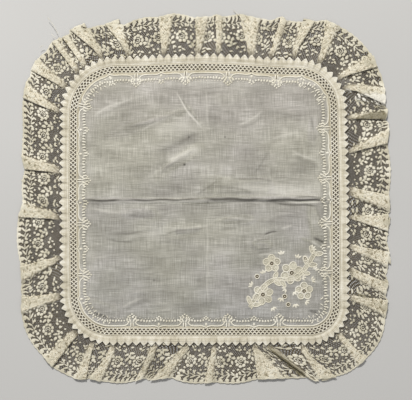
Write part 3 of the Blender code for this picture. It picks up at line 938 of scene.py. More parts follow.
# Folds and creases of the lawn: ends in photograph pixels, half width, height, bow sideways
CREASES = (
    (62, 199.5, 205, 200.3, 1.1, 0.40, 0.5), (205, 200.3, 345, 198.6, 1.1, 0.55, -0.4),
    (298, 202.6, 334, 202.4, 0.9, 0.50, 0.0), (296, 197.2, 332, 197.6, 0.8, -0.35, 0.0),
    (160, 172, 197, 147, 1.6, 0.45, 1.0), (128, 126, 192, 107, 1.8, 0.35, -1.5),
    (212, 178, 272, 180, 2.6, 0.40, -2.5), (214, 193, 270, 191, 2.4, 0.30, 2.0),
    (128, 214, 152, 212, 2.2, 0.35, 1.0), (174, 232, 202, 228, 2.4, 0.35, -1.0),
    (214, 222, 246, 219, 1.8, 0.35, 1.0), (254, 240, 270, 240, 1.0, 0.40, 0.0),
    (256, 248.5, 270, 248, 0.9, 0.35, 0.0), (94, 312, 108, 317, 1.4, 0.45, 0.5),
    (316, 239, 323, 244, 1.2, -0.50, 0.0), (309, 311, 318, 313, 1.2, -0.45, 0.0),
    (264, 235, 276, 231, 1.0, -0.35, 0.0), (176, 92, 204, 130, 0.8, 0.22, 0.8),
    (242, 272, 260, 273, 0.8, 0.22, 0.0), (250, 276, 248, 284, 0.9, 0.25, 0.6),
    (148, 306, 168, 304, 1.1, 0.28, 0.0), (150, 313, 172, 311, 0.9, 0.25, 0.4),
    (300, 238, 318, 246, 1.2, 0.30, 0.6), (304, 258, 316, 266, 1.4, 0.30, 0.4),
)
# Shades and lights of the folds: ends in photograph pixels, bow sideways, half width, light or shade
TONES = (
    (82, 200.2, 122, 200.6, 0, 0.8, -1.2), (118, 200.5, 205, 199.4, 0, 0.75, -1.1),
    (203, 198.9, 264, 199.8, 0, 1.2, -1.4), (260, 199.6, 327, 200.2, 0, 1.1, -1.1),
    (294, 197.0, 325, 197.3, 0, 0.7, -0.5), (271, 203.4, 321, 206.2, 0, 0.8, -0.8),
    (284, 201.7, 322, 202.8, 0, 0.9, 0.8), (96, 202.1, 204, 201.5, 0, 0.9, 0.6),
    (206, 201.3, 270, 202.2, 0, 1.0, 0.6), (139, 133, 186, 118, 4.5, 0.8, 0.35),
    (152, 131, 194, 126, 0, 5.5, 0.30), (166, 161, 203, 148, 0, 3.4, 0.5),
    (158, 153, 199, 132, -1.0, 2.6, -0.38), (150, 167, 200, 163, 0, 1.8, -0.2),
    (176, 92, 203, 129, -1.5, 0.6, 0.9), (178, 92, 205, 129, -1.5, 0.8, -0.25),
    (92, 116, 136, 98, 2.0, 0.9, 0.35), (95, 119, 140, 101, 2.0, 1.4, -0.18),
    (227, 178.6, 271, 180.4, 0.5, 0.7, -0.5), (232, 188, 322, 192, 0, 5.0, 0.42),
    (208, 187, 257, 195, 2.5, 1.3, -0.32), (195, 197, 220, 178, 0, 0.8, -0.28),
    (254, 174, 268, 153, 0, 0.8, -0.28), (291, 151, 319, 162, 0, 1.0, 0.38),
    (294, 157, 320, 167, 0, 2.2, -0.32), (298, 168, 318, 169, 0, 3.5, -0.22),
    (213, 95, 215, 135, 0, 5.0, -0.14), (206, 88, 208, 130, 0, 0.9, 0.3),
    (238, 125, 262, 110, -2.0, 0.9, 0.35), (240, 128, 264, 114, -2.0, 1.2, -0.2),
    (262, 111, 302, 121, 2.0, 2.2, -0.2), (311, 115, 314, 132, 0, 1.2, -0.35),
    (130, 103, 178, 106, 3.0, 1.4, -0.15), (88, 208, 134, 213, -1.0, 1.4, 0.32),
    (95, 215, 150, 217, 0, 1.6, -0.2), (107, 235, 158, 229, -0.5, 0.9, -0.3),
    (120, 238, 165, 234, 1.0, 1.2, 0.18), (161, 235, 207, 229, 1.5, 0.8, -0.34),
    (163, 232, 205, 227, 1.5, 0.9, 0.28), (109, 240.5, 134, 242, 0, 0.7, -0.45),
    (217, 230, 240, 229, 1.0, 0.8, -0.28), (219, 233, 260, 232, 0, 1.2, 0.22),
    (264, 235, 278, 231.5, 0.4, 0.7, -0.85), (256, 240, 272, 239, 0, 0.7, -0.5),
    (257, 253, 272, 251.5, 0, 0.7, -0.35), (257, 255.5, 272, 254.5, 0, 0.9, 0.32),
    (281, 228, 293, 225.5, 0, 0.8, 0.4), (262, 225, 300, 215, 2.0, 1.5, -0.2),
    (313, 237, 324, 243, 0, 1.1, -0.8), (311, 241, 322, 247, 0, 1.1, 0.35),
    (303, 256, 321, 260, 0, 1.4, 0.4), (300, 262, 318, 264, 0, 1.6, -0.28),
    (122, 308, 142, 299, 1.5, 1.0, 0.32), (124, 311, 146, 303, 1.5, 1.3, -0.22),
    (158, 296, 200, 300, 0, 4.0, -0.16), (170, 306, 215, 308, 0, 4.0, -0.16),
    (207.5, 205, 207.5, 312, 0, 0.8, 0.25), (85, 255, 110, 258, 0, 1.4, 0.22),
    (115, 280, 180, 279, 0, 0.9, -0.2), (105, 268, 160, 270, 0, 1.1, -0.16),
    (130, 292, 165, 288, 0, 1.3, 0.18), (205, 245, 250, 247, 0, 0.9, -0.24),
    (249, 285, 251, 297, 1.0, 0.9, 0.3), (305, 277, 322, 284, 0, 0.9, 0.35),
    (94, 313, 107, 317.5, 0, 1.6, -0.5), (92, 318, 104, 321, 0, 1.0, 0.3),
    (309, 311.5, 318, 313.5, 0, 1.0, -0.75), (98, 222, 140, 224, 0, 1.2, -0.14),
    (212, 215, 300, 210, 0, 1.6, -0.16), (226, 218, 262, 220, 0, 1.0, 0.22),
    (130, 185, 190, 188, 0, 1.5, -0.12), (98, 140, 130, 128, 0, 1.2, -0.16),
    (270, 140, 296, 132, 0, 1.0, 0.24), (100, 170, 150, 176, 0, 1.3, 0.14),
)
SPECKS = (
    (184.5, 164.5, 0.8, 1.6), (189, 137, 0.7, 1.1), (225, 137, 0.7, 1.1), (208, 202.5, 1.1, 0.6),
    (154, 280.5, 0.9, 0.65), (151, 283.5, 0.8, 0.45), (157, 195, 0.9, 0.45), (113, 240, 0.8, 0.3),
    (300, 292, 2.4, 0.25),
)
SWELLS = (
    (-52.0, -1.1, 62.0, 2.2, -0.4, 0.8), (56.0, 1.3, 56.0, 2.4, 1.2, 1.3),
    (31.0, 11.5, 27.0, 6.5, 2.0, 0.7), (-23.0, 32.0, 24.0, 4.5, 34.0, 0.6),
    (-48.0, 66.0, 30.0, 5.0, 16.0, 0.5), (-55.0, -12.0, 16.0, 5.0, -6.0, 0.5),
    (-14.0, -26.0, 18.0, 6.0, 3.0, 0.5), (28.0, -17.0, 15.0, 4.0, 8.0, 0.5),
    (49.0, -38.0, 9.0, 3.5, -8.0, 0.7), (94.0, -20.0, 5.0, 20.0, 10.0, 0.8),
    (-86.0, -92.0, 13.0, 5.0, -20.0, 0.7), (92.0, 60.0, 5.0, 16.0, -6.0, 0.5),
)


def from_fold(x, y, x1, y1, x2, y2, bow):
    """Share along a fold between two pixels, distance aside of it, and its length."""
    start, end = np.array(photo_place(x1, y1)), np.array(photo_place(x2, y2))
    span = np.linalg.norm(end - start)
    tangent = (end - start) / span
    along = ((x - start[0]) * tangent[0] + (y - start[1]) * tangent[1]) / span
    aside = (y - start[1]) * tangent[0] - (x - start[0]) * tangent[1]
    return along, aside - bow * np.sin(np.pi * np.clip(along, 0, 1)), span


def crease_height(x, y):
    """Sharp small folds of the lawn above its swells."""
    height = np.zeros(np.shape(x))
    for x1, y1, x2, y2, half_width, peak, bow in CREASES:
        along, aside, _ = from_fold(x, y, x1, y1, x2, y2, bow)
        taper = np.clip(np.minimum(along, 1 - along) * 6 + 0.15, 0, 1)
        height += peak * taper * bell(aside, half_width)
    return height


def swell_height(x, y):
    height = np.zeros(np.shape(x))
    for middle_x, middle_y, half_length, half_width, heading, peak in SWELLS:
        turn = math.radians(heading)
        across_x, across_y = x - middle_x, y - middle_y
        along = (across_x * math.cos(turn) + across_y * math.sin(turn)) / half_length
        aside = (across_y * math.cos(turn) - across_x * math.sin(turn)) / half_width
        height += peak * np.exp(-(along ** 4) - aside ** 2)
    return height


def lawn_top(x, y):
    """Height of the lawn's upper face."""
    drift = 0.10 * np.sin(x / 7.3 + 0.8 * np.sin(y / 19.0)) * np.sin(y / 6.1 + 0.9 * np.sin(x / 23.0))
    return LAWN_LEVEL + 1.2 * swell_height(x, y) + 1.3 * crease_height(x, y) + drift


LAWN_ROWS, LAWN_COLUMNS = 320, 300


def lawn_piece():
    corner_places = []
    place = 0.0
    for segment in SEGMENTS:
        if segment[0] == "arc":
            corner_places.append(place + segment[-1] / 2)
        place += segment[-1]
    upper_left, upper_right, lower_right, lower_left = corner_places
    u = np.linspace(0, 1, LAWN_COLUMNS)
    u = 0.12 * (0.5 - 0.5 * np.cos(np.pi * u)) + 0.88 * u
    fine = np.linspace(0, 1, LAWN_ROWS)
    v = fine - 0.055 * np.sin(4 * np.pi * fine) / (2 * np.pi)
    bottom = edge_points(between(lower_left, lower_right, u), LAWN_EDGE)
    top = edge_points(between(upper_left, upper_right, u), LAWN_EDGE)
    left = edge_points(between(lower_left, upper_left + PERIMETER, v), LAWN_EDGE)
    right = edge_points(between(lower_right, upper_right, v), LAWN_EDGE)
    u, v = u[None, :, None], v[:, None, None]
    flat = (1 - v) * bottom + v * top + (1 - u) * left[:, None] + u * right[:, None]
    flat = (flat - (1 - u) * (1 - v) * bottom[0] - u * (1 - v) * bottom[-1]
            - (1 - u) * v * top[0] - u * v * top[-1])
    flat = flat.reshape(-1, 2)
    upper = np.concatenate([flat, lawn_top(flat[:, 0], flat[:, 1])[:, None]], -1)
    faces = grid_faces(LAWN_ROWS, LAWN_COLUMNS, False)
    piece = make_piece("lawn", upper, [faces], LAWN, "lawn_centre")
    shade, light = lawn_tones(flat)
    return marked(marked(piece, shade, "shade"), light, "light")


def band_crease(x, y):
    """Soft dent where the centre fold runs on over the bands."""
    return -0.25 * bell(y - 1.0, 1.6)


def band_lift(out):
    """How far the sawtooth band has risen, from the openwork to over the frill."""
    return BAND_LIFT * np.clip((out - BAND_RAMP_FOOT) / (BAND_RAMP_HEAD - BAND_RAMP_FOOT), 0, 1)


def lawn_tones(flat):
    """Painted shade and light of the lawn along its folds and along the picots, painted light along the top
    and the left, and darker specks.
    """
    x, y = flat[:, 0], flat[:, 1]
    tone = np.zeros(len(flat))
    for x1, y1, x2, y2, bow, half_width, amount in TONES:
        along, aside, span = from_fold(x, y, x1, y1, x2, y2, bow)
        aside = aside - 0.35 * np.sin(along * span / 4.1 + x1)
        taper = np.clip(np.minimum(along, 1 - along) * 5 + 0.05, 0, 1)
        tone += amount * taper * bell(aside, half_width)
    for px, py, radius, strength in SPECKS:
        spot = np.array(photo_place(px, py))
        tone -= strength * np.exp(-((x - spot[0]) ** 2 + (y - spot[1]) ** 2) / radius ** 2)
    # Painted shade along the row of picots
    run = np.arange(0.0, BORDER_LINE.length, 1.1)
    line = edge_points(BORDER_LINE.place(run), picot_row(run) - 0.5)
    near = np.flatnonzero(np.maximum(np.abs(x), np.abs(y)) > 78.0)
    gap = np.concatenate([
        np.sqrt(((part[:, None, :] - line[None]) ** 2).sum(-1).min(1))
        for part in np.array_split(flat[near], 20)])
    tone[near] -= 0.42 * bell(gap, 2.2)
    # Painted light along the top and the left of the whitework
    tone += 0.38 * bell(y - 102, 5.5) + 0.20 * bell(x + 101, 5.0)
    return np.clip(-tone, 0, 1), np.clip(tone, 0, 1)


# West of this lies the band's left side, where the painted shade of the points' folds is strongest
LEFT_SIDE = -105


def band_piece():
    """Plain band with a folded sawtooth edge, a hem ridge and a rolled inner edge."""
    per_tooth = 10
    count = TEETH * per_tooth
    along = np.arange(count) * PERIMETER / count
    phase = (along / PERIMETER * TEETH) % 1.0
    tooth = (along / PERIMETER * TEETH).astype(int) % TEETH
    reach = 1.0 + rng.normal(0, 0.07, TEETH)
    lean = rng.normal(0, 0.05, TEETH)
    peak = 0.5 + lean[tooth]
    rise = np.where(phase < peak, phase / peak, (1 - phase) / (1 - peak))
    rise = rise * (1 - 0.10 * rise ** 3) / 0.90
    tip = -TOOTH_DEPTH + TOOTH_DEPTH * rise * reach[tooth]
    tip = np.minimum(tip, 0.15)
    rows = []
    for out in (BAND_INNER, -8.5, -8.35, BAND_RAMP_FOOT, -7.5, -6.7, -6.0, BAND_RAMP_HEAD,
                -5.0, -4.5, -4.1, -3.85, TOOTH_ROOT):
        rows.append(np.full(count, out))
    for share in (0.3, 0.62, 0.84, 1.0):
        rows.append(TOOTH_ROOT + (tip - TOOTH_ROOT) * share)
    heights = []
    for row in rows:
        lift = band_lift(row)
        ridge = 0.12 * bell(row + 4.1, 0.30) + 0.05 * bell(row + 8.35, 0.35)
        heights.append(BAND_LEVEL + lift + ridge)
    rolled = (0.0, 0.10, 0.16, 0.04)
    for k, extra in enumerate(rolled):
        heights[len(rows) - 4 + k] = heights[len(rows) - 4 + k] + extra
    points, laid = [], []
    for row, height in zip(rows, heights):
        flat = edge_points(along, row)
        dent = band_crease(flat[:, 0], flat[:, 1])
        points.append(np.concatenate([flat, (height + dent)[:, None]], -1))
        laid.append(np.stack([along, row], -1))
    points.append(points[-1] - np.array([0, 0, 0.45]))
    points.append(points[-3] - np.array([0, 0, 0.55]))
    points.append(points[0] - np.array([0, 0, 0.5]))
    upper = len(rows)
    stack = np.concatenate(points)
    quads = grid_faces(upper + 2, count, True)
    inner = grid_faces(2, count, True)
    bottom = (upper + 2) * count
    inner = np.where(inner < count, inner + bottom, inner - count)
    laid += [laid[-1], laid[-3], laid[0]]
    laid = np.concatenate(laid)
    piece = make_piece("sawtooth_band", stack, [quads, inner], BAND, "vandyke_band", laid)
    along, out = laid[:, 0], laid[:, 1]
    # Painted shade along the hem lines and in the valleys between the points; painted highlights on the
    # ridges, the crests and the tips
    drift = 0.5 + 0.3 * np.sin(along / 5.3 + 2 * np.sin(along / 23.0)) + 0.2 * np.sin(along / 1.9)
    edge = bell(out + 8.3, 0.3) + 0.25 * bell(out + 5.4, 0.35)
    phase = (along / PERIMETER * TEETH) % 1.0
    uneven = 0.6 + 0.6 * np.sin(along / 2.7 + 3.0 * np.sin(along / 37.0)) ** 2
    uneven = uneven * (1 + 0.8 * (edge_points(along, out)[:, 0] < LEFT_SIDE))
    valley = bell(np.minimum(phase, 1 - phase), 0.10) * np.clip((out + 7.8) / 3.2, 0, 1)
    edge = edge + 2.3 * uneven * valley
    crest = bell(phase - 0.6, 0.12) * np.clip((out + 6.0) / 2.5, 0, 1)
    tips = np.arange(len(out)) // count >= upper - 2
    ridge = bell(out + 7.4, 0.6) + 0.7 * bell(out + 3.2, 0.5) + 1.3 * tips
    marked(piece, np.clip(0.55 * drift * edge, 0, 0.85), "shade")
    return marked(piece, np.clip((1.2 - drift) * 0.6 * (ridge + uneven * crest), 0, 0.8), "light")


OPENWORK_LINE = RingLine(-11.9)
HOLES = 240
# Middle and limits of each row of holes, and its stagger in holes
HOLE_ROWS = (
    (-10.05, -8.45, -11.05, 0.5), (-11.95, -11.05, -12.85, 0.0), (-13.85, -12.85, -15.3, 0.5),
)
HOLE_RADIUS = 1.37
HOLE_CORNERS = 16
# How far from the middle the openwork's upright sides lie
OPENWORK_SIDE = 98


def openwork_piece():
    """Openwork sheet: three staggered rows of diamond holes, and its plain inner strip."""
    around = HOLE_CORNERS
    pitch = OPENWORK_LINE.length / HOLES
    turn = -np.pi * 3 / 4 + np.arange(around) * 2 * np.pi / around
    side_x = np.clip(np.cos(turn) * math.sqrt(2), -1, 1)
    side_y = np.clip(np.sin(turn) * math.sqrt(2), -1, 1)
    diamond = 1.0 / (np.abs(np.cos(turn)) + np.abs(np.sin(turn))) ** 0.55
    groups, quads, shades, count = [], [], [], 0
    k = np.arange(around)
    j = (k + 1) % around
    for centre, high, low, stagger in HOLE_ROWS:
        middle = (np.arange(HOLES) + stagger)[:, None] * pitch
        outer_out = centre + side_y * np.where(side_y > 0, high - centre, centre - low)
        wobble = (0.97 + rng.normal(0, 0.09, (HOLES, 1))).clip(0.7, 1.08) * diamond
        cell_edge = OPENWORK_LINE.place(middle + side_x * pitch / 2)
        loops = [ring_points(cell_edge, np.tile(outer_out, (HOLES, 1)), OPENWORK_LEVEL)]
        for radius, height in ((HOLE_RADIUS, 0.84), (HOLE_RADIUS * 0.86, 0.60), (HOLE_RADIUS * 0.22, 0.10)):
            reach = radius * min(1.0, 0.98 * min(high - centre, centre - low) / HOLE_RADIUS)
            place = OPENWORK_LINE.place(middle + np.cos(turn) * radius * wobble)
            loops.append(ring_points(place, centre + np.sin(turn) * reach * wobble, height))
        groups.append(np.concatenate(loops, 1).reshape(-1, 3))
        # Painted shade on the hole walls, part way at the rim and full towards their feet
        shades.append(np.tile(np.repeat([0.0, 0.35, 1.0, 1.0], around), HOLES))
        first = count + np.arange(HOLES)[:, None, None] * 4 * around
        cell = np.concatenate([
            np.stack([k, j, around + j, around + k], -1) + ring * around for ring in range(3)])
        quads.append((first + cell[None]).reshape(-1, 4))
        count += HOLES * 4 * around
    along = np.arange(HOLES * 4) * PERIMETER / (HOLES * 4)
    for out in (-15.3, -15.8, -16.3, OPENWORK_INNER):
        groups.append(ring_points(along, out, OPENWORK_LEVEL))
        shades.append(np.zeros(len(along)))
    quads.append(grid_faces(4, len(along), True, base=count))
    points = np.concatenate(groups)
    points[:, 2] += band_crease(points[:, 0], points[:, 1])
    faces = np.concatenate(quads)
    _, first, index = np.unique(np.round(points, 3), axis=0, return_index=True, return_inverse=True)
    piece = make_piece("openwork_sheet", points[first], [index.reshape(-1)[faces]], OPENWORK,
                       "openwork_band")
    # The upright sides are made a little darker as well
    upright = np.abs(points[first, 0]) > OPENWORK_SIDE
    return marked(piece, np.clip(np.concatenate(shades)[first] + 0.13 * upright, 0, 1), "shade")


def on_ring(motifs, line, height):
    """Puts motifs drawn as (run along a ring line, distance out, height) on the cloth."""
    flat = motifs.flat_points()
    points = ring_points(line.place(flat[:, 0]), flat[:, 1], flat[:, 2])
    points[:, 2] += height(points[:, 0], points[:, 1])
    return points


def band_level(x, y):
    return BAND_LEVEL + band_crease(x, y)


def openwork_stitches():
    """Crossed threads between the holes, and the whipped edges of the openwork."""
    pitch = OPENWORK_LINE.length / HOLES
    middle = (np.arange(HOLES) + 0.5) * pitch
    motifs = Motifs()
    for out, way in ((-11.0, 1), (-12.9, -1)):
        for side in (-1, 1):
            motifs.leaves(middle + side * 0.25 * pitch, out, 2.8, 0.80, way * side * 47.0,
                          rise=0.34)
    for out in (-9.15, -14.75):
        motifs.leaves(middle, out, 2.2, 0.75, 0.0, rise=0.30)
        motifs.leaves(middle + pitch / 2, out - 0.5 * np.sign(out + 12), 1.5, 1.5, 90.0, rise=0.38)
    points = on_ring(motifs, OPENWORK_LINE, band_level)
    return make_piece("openwork_stitches", points, motifs.faces(), STITCHING, "openwork_band")


def band_stitches():
    """Two rows of small running stitches on the plain band."""
    motifs = Motifs()
    for out, pitch, length in ((-7.9, 1.7, 1.15), (-4.55, 1.9, 1.2)):
        count = int(PERIMETER / pitch)
        along = np.arange(count) * PERIMETER / count
        motifs.leaves(along, out, length, 0.38, rng.normal(0, 4, count),
                      rise=0.14, sides=6)
    flat = motifs.flat_points()
    lift = band_lift(flat[:, 1])
    points = ring_points(flat[:, 0], flat[:, 1], flat[:, 2] + lift + 0.82)
    points[:, 2] += band_crease(points[:, 0], points[:, 1])
    return make_piece("band_stitches", points, motifs.faces(), STITCHING, "vandyke_band")


# Whitework on the lawn

BIG_DROPS = (
    (136, 73), (185.5, 72.5), (228, 73), (277, 74), (330, 128), (330, 178), (330, 223), (329, 272),
    (279, 325), (228, 325), (184.5, 325), (132, 325), (84, 275), (83, 224), (83, 181), (84, 106),
)
SMALL_DROPS = (
    (161, 72), (252, 73), (302, 76), (330, 153), (330, 200), (330, 247), (254, 325), (206, 325),
    (158.6, 325), (84, 299), (83, 249), (83, 203), (83, 154), (110, 78), (84, 130), (318, 100),
)


BORDER_LINE = RingLine(-19.0)
BIG = np.sort([float(BORDER_LINE.run(place_of(x, y))) for x, y in BIG_DROPS])
SMALL = np.sort([float(BORDER_LINE.run(place_of(x, y))) for x, y in SMALL_DROPS])
SLIT = 2.3
DROP_OUT = -17.5
PICOT_PITCH = 2.4


def away_from(run, places):
    """Distance along the border to the nearest of these places."""
    away = (run[..., None] - places + BORDER_LINE.length / 2) % BORDER_LINE.length - BORDER_LINE.length / 2
    return np.abs(away).min(-1)


def cord_out(run):
    """Distance out of the raised cord, which turns in at each big drop and peaks at each small one."""
    big = away_from(run, BIG)
    small = away_from(run, SMALL)
    return (-16.75 - 4.3 * np.exp(-np.maximum(big - SLIT, 0.0) / 1.5)
            + 1.35 * np.exp(-small / 1.5) - 0.35 * bell(small - 4.5, 2.5))


def picot_row(run):
    """Distance out of the picots, which turn in at the drops."""
    big = away_from(run, BIG)
    small = away_from(run, SMALL)
    return -20.9 - 3.4 * np.exp(-(big / 4.2) ** 1.6) - 1.5 * np.exp(-(small / 3.0) ** 1.5)


def whitework():
    """Cord, picots, drops and corner leaves sewn on the lawn's border."""
    motifs = Motifs()
    for start, end in zip(BIG, np.append(BIG[1:], BIG[0] + BORDER_LINE.length)):
        run = np.arange(start + SLIT, end - SLIT, 0.35)
        motifs.band(np.stack([run, cord_out(run)], -1)[None], 1.1, 0.60)
    # Picots lie in a row inside the cord, with sparse specks beyond
    picots = int(BORDER_LINE.length / PICOT_PITCH)
    at = np.arange(picots) * BORDER_LINE.length / picots
    row = picot_row(at) + rng.normal(0, 0.15, picots)
    ends = edge_points(BORDER_LINE.place(at), row)
    upright = np.abs(ends[:, 0]) > np.abs(ends[:, 1])
    long = np.where(upright, 3.3, 2.3) + rng.normal(0, 0.35, picots)
    motifs.leaves(at, row, long, np.where(upright, 1.5, 1.7), 90.0 + rng.normal(0, 13, picots), rise=0.6,
                  sides=9, dent=0.35)
    few = at[rng.random(picots) < np.where(upright, 0.25, 0.8)] + 1.2
    beyond = picot_row(few) - rng.uniform(1.6, 2.8, len(few))
    motifs.leaves(few, beyond, 1.0, 0.8, rng.uniform(0, 180, len(few)), rise=0.35, sides=7)
    for places, inward, spread in ((BIG, 26.6, (0.0, -1.7, 1.7, -3.3, 3.3)),
                                   (SMALL, 24.6, (0.0, -1.5, 1.5))):
        for step in spread:
            motifs.leaves(places + step, 0.75 * abs(step) - inward, 1.7, 1.4, 90.0, point=0.45, rise=0.45)
    # Each big drop is an oval round a slit, over a pair of leaves. Each small one is a single leaf
    for side in (-1, 1):
        motifs.leaves(BIG + side * 0.95, DROP_OUT, 4.6, 1.35, 270.0, rise=0.55, sides=12)
        for aside, inward, length, width, turn, point, rise in (
                (1.6, 4.0, 4.2, 1.6, 20, 0.3, 0.5), (4.0, 3.6, 3.0, 1.4, 38, 0.2, 0.42)):
            motifs.leaves(BIG + side * aside, DROP_OUT - inward, length, width, 270.0 + side * turn,
                          point=point, rise=rise, sides=10)
    motifs.leaves(SMALL, -18.3, 3.0, 1.9, 270.0, point=0.45, rise=0.5, sides=10)
    # Leaf sprays in the corners, pointing in from the cord
    for x, y in ((100, 92), (311, 90), (322, 311), (96, 314)):
        middle = float(BORDER_LINE.run(place_of(x, y)))
        for k in range(-3, 4):
            way = (-1) ** k
            motifs.leaves(middle + 5.0 * k, -18.9 - 0.5 * (k % 2), 2.6, 1.3, 270.0 + 30 * way,
                          point=0.25, rise=0.5, sides=10)
            motifs.leaves(middle + 5.0 * k + 2.5, -24.4, 3.2, 1.2, 270.0 - 34 * way,
                          point=0.25, rise=0.5, sides=10)
    points = on_ring(motifs, BORDER_LINE, stitched_level)
    return make_piece("whitework_border", points, motifs.faces(), STITCHING, "lawn_centre")


def border_slits():
    """Painted shade in the slits inside the big drops."""
    motifs = Motifs()
    motifs.leaves(BIG, DROP_OUT, 3.6, 0.85, 270.0, rise=0.05)
    points = on_ring(motifs, BORDER_LINE, stitched_level)
    return make_piece("border_slits", points, motifs.faces(), SHADOW, "lawn_centre")


def stitched_level(x, y):
    return lawn_top(x, y) + 0.02


# Corner spray: a curved stem with paired leaves, flowers with eyelet centres and loose eyelets
SPRAY_MIDDLE = (283.0, 279.5)
# x, y, radius of the flower, petals, radius of its eyelet
SPRAY_FLOWERS = (
    (-17.0, -13.0, 9.0, 6, 1.75), (7.5, 5.5, 9.6, 6, 1.8), (-9.5, 13.5, 7.6, 5, 1.6),
    (18.0, -10.0, 7.6, 5, 1.6),
)
# Small leaves in threes that fill the outer side of the stem: x, y, heading
SPRAY_TREFOILS = (
    (9.5, -10.0, 300), (24.0, -1.0, 20), (27.0, 7.5, 60), (-1.0, -15.5, 250), (-25.5, -5.5, 150),
    (-16.0, 4.5, 110), (-1.0, 20.5, 100), (12.5, 17.5, 80), (24.5, 25.5, 40), (-9.0, -23.5, 300),
    (10.5, -20.5, 280), (19.0, -18.5, 330), (3.0, -8.0, 210), (16.0, 2.0, 350),
)
SPRAY_EYELETS = ((1.5, -14.5, 1.6), (19.0, 17.5, 1.6), (-22.0, 2.5, 1.5), (4.5, -21.5, 1.4))


def spray_stem(share):
    """Middle line of the spray's stem, from lower left to upper right."""
    return np.stack([-28.0 + 56.0 * share, -24.0 + 48.0 * share + 8.0 * np.sin(np.pi * 2 * share)], -1)


def beside(x, y, turn, reach):
    angle = math.radians(turn)
    return x + reach * math.cos(angle), y + reach * math.sin(angle)


def outlined(cords, grounds, x, y, length, width, heading):
    """Leaf or petal of thin cloth with a corded outline and a vein."""
    grounds.leaves(x, y, length, width, heading, point=0.15, rise=0.10, rim=0.06, sides=14)
    turn = np.linspace(0, 2 * np.pi, 23)
    along, aside = 0.48 * length * np.cos(turn), 0.48 * width * np.sin(turn) * (1 - 0.15 * np.cos(turn))
    angle = math.radians(heading)
    line = np.stack([x + along * math.cos(angle) - aside * math.sin(angle),
                     y + along * math.sin(angle) + aside * math.cos(angle)], -1)
    cords.band(line[None], 0.9, 0.5)
    for reach in (-0.12, 0.12):
        cords.leaves(*beside(x, y, heading + 90, reach * width), length * 0.5, 0.5, heading, rise=0.3)


def eyelet(cords, shadows, x, y, hole):
    """Round eyelet: a corded ring, painted shade in its hole and the light threads across it."""
    shadows.leaves(x, y, hole * 2, hole * 2, 0.0, rise=0.14, sides=16)
    cords.rings(x, y, hole + 0.35, 0.85, 0.62, 18)
    cords.leaves(x, y, hole * 0.75, hole * 0.75, 30.0, rise=0.22)


def corner_spray():
    cords, grounds, shadows = Motifs(), Motifs(), Motifs()
    share = np.linspace(0.0, 1.0, 70)
    grounds.band(spray_stem(share)[None], 3.6, 0.12)
    for side in (-1, 1):
        cords.band((spray_stem(share) + side * np.array([-1.1, 1.4]))[None], 0.85, 0.45)
    rungs = spray_stem(np.linspace(0.02, 0.98, 46))
    cords.leaves(rungs[:, 0], rungs[:, 1], 2.6, 0.55, 128.0, rise=0.25, sides=6)
    for number, at in enumerate((0.02, 0.11, 0.36, 0.45, 0.54, 0.78, 0.87, 0.97)):
        point = spray_stem(np.array([at]))[0]
        ahead = spray_stem(np.array([at + 0.01]))[0] - point
        heading = math.degrees(math.atan2(ahead[1], ahead[0]))
        for side in (-1, 1):
            turn = heading + side * 52
            length = 7.8 - 0.5 * (number % 3)
            middle = beside(*point, turn, length / 2 + 0.8)
            clear = min(math.hypot(middle[0] - x, middle[1] - y) - radius
                        for x, y, radius, _, _ in SPRAY_FLOWERS)
            if clear > 0.5:
                outlined(cords, grounds, *middle, length, 3.7, turn)
    for x, y, radius, petals, hole in SPRAY_FLOWERS:
        for petal in range(petals):
            turn = petal * 360.0 / petals + 20.0
            middle = beside(x, y, turn, radius * 0.66)
            outlined(cords, grounds, *middle, radius * 0.70, radius * 4.0 / petals, turn)
        eyelet(cords, shadows, x, y, hole)
    for x, y, hole in SPRAY_EYELETS:
        eyelet(cords, shadows, x, y, hole)
    for x, y, turn in SPRAY_TREFOILS:
        for spread in (-42, 0, 42):
            middle = beside(x, y, turn + spread, 2.4)
            cords.leaves(*middle, 3.6, 1.7, turn + spread, point=0.3, rise=0.5, sides=10, dent=0.45)
    made = []
    middle = photo_place(*SPRAY_MIDDLE)
    # The eyelets' dark discs are painted shade
    for name, drawn, material in (("corner_spray", cords, STITCHING), ("spray_ground", grounds, SPRAY),
                                  ("spray_eyelet_shade", shadows, SHADOW)):
        points = drawn.flat_points().copy()
        points[:, 0] += middle[0]
        points[:, 1] += middle[1]
        points[:, 2] += stitched_level(points[:, 0], points[:, 1])
        made.append(make_piece(name, points, drawn.faces(), material, "lawn_centre"))
    return made


UPPER_EDGE = 158
# Ends in photograph pixels, bow sideways
STRAYS = (
    (48, 18, 58, 34, 0.8), (52, 34, 56, 38, -0.5), (40, 48, 44, 46, 0.4), (233, 10, 245, 26, 1.0),
)


def stray_threads():
    """Loose ends of thread, at the upper left corner and on the upper frill."""
    motifs = Motifs()
    share = np.linspace(0, 1, 14)
    for x1, y1, x2, y2, bow in STRAYS:
        start, end = np.array(photo_place(x1, y1)), np.array(photo_place(x2, y2))
        line = start + (end - start) * share[:, None]
        across = np.array([-(end - start)[1], (end - start)[0]]) / np.linalg.norm(end - start)
        line = line + across * (bow * np.sin(np.pi * share))[:, None]
        motifs.band(line[None], 0.34, 0.3)
    points = motifs.flat_points().copy()
    # Past the frill's edge they lie lower
    points[:, 2] += np.where(points[:, 1] > UPPER_EDGE, 1.2, 3.4)
    return make_piece("stray_threads", points, motifs.faces(), STITCHING, "lace_frill")


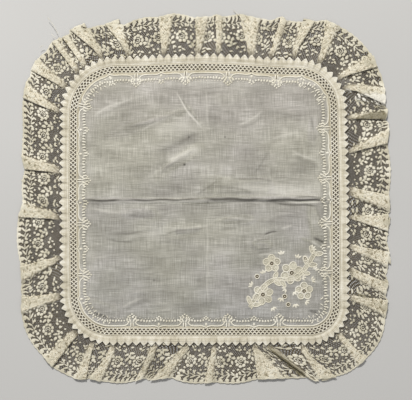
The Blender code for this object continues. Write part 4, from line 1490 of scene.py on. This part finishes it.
lawn = lawn_piece()
border = whitework()
spray = corner_spray()
openwork = openwork_piece()
openwork_thread = openwork_stitches()
band = band_piece()
band_thread = band_stitches()
net = net_piece()
lace = lace_motifs()
threads = stray_threads()

# Floor, light and camera

floor_mesh = bpy.data.meshes.new("floor")
FLOOR_LEVEL = -0.0002
floor_corners = [(x, y, FLOOR_LEVEL) for x, y in ((-2, -2), (2, -2), (2, 2), (-2, 2))]
floor_mesh.from_pydata(floor_corners, [], [(0, 1, 2, 3)])
floor_mesh.materials.append(floor_material())
floor = bpy.data.objects.new("floor", floor_mesh)
bpy.context.scene.collection.objects.link(floor)

slits = border_slits()


def area_light(name, place, target, size, power, colour):
    light = bpy.data.lights.new(name, "AREA")
    light.shape = "DISK"
    light.size = size
    light.energy = power
    light.color = colour
    holder = bpy.data.objects.new(name, light)
    holder.location = place
    aim = np.array(target) - np.array(place)
    holder.rotation_euler = (
        math.atan2(math.hypot(aim[0], aim[1]), -aim[2]), 0.0, math.atan2(aim[1], aim[0]) - math.pi / 2)
    bpy.context.scene.collection.objects.link(holder)


area_light("key", (-0.40, 1.50, 1.45), (0, 0, 0), 0.34, 44.0, (1.0, 0.985, 0.955))
area_light("fill", (1.0, -2.2, 3.2), (0, 0, 0), 2.4, 19.0, (1.0, 0.99, 0.975))

world = bpy.data.worlds.new("studio")
bpy.context.scene.world = world
world.use_nodes = True
world.node_tree.nodes["Background"].inputs["Color"].default_value = (1.0, 1.0, 1.0, 1.0)
world.node_tree.nodes["Background"].inputs["Strength"].default_value = 0.27

camera_data = bpy.data.cameras.new("camera")
camera = bpy.data.objects.new("camera", camera_data)
bpy.context.scene.collection.objects.link(camera)
FRAME_WIDTH = PHOTO_WIDTH * PIXEL
camera_data.lens = 100.0
camera_data.sensor_width = 36.0
camera_data.clip_end = 20.0
camera_height = FRAME_WIDTH * camera_data.lens / camera_data.sensor_width + 1.5
camera.location = (1.7 * MM, -1.3 * MM, camera_height * MM)
camera.rotation_euler = (0.0, 0.0, 0.0)
bpy.context.scene.camera = camera
bpy.context.scene.view_settings.view_transform = "Standard"
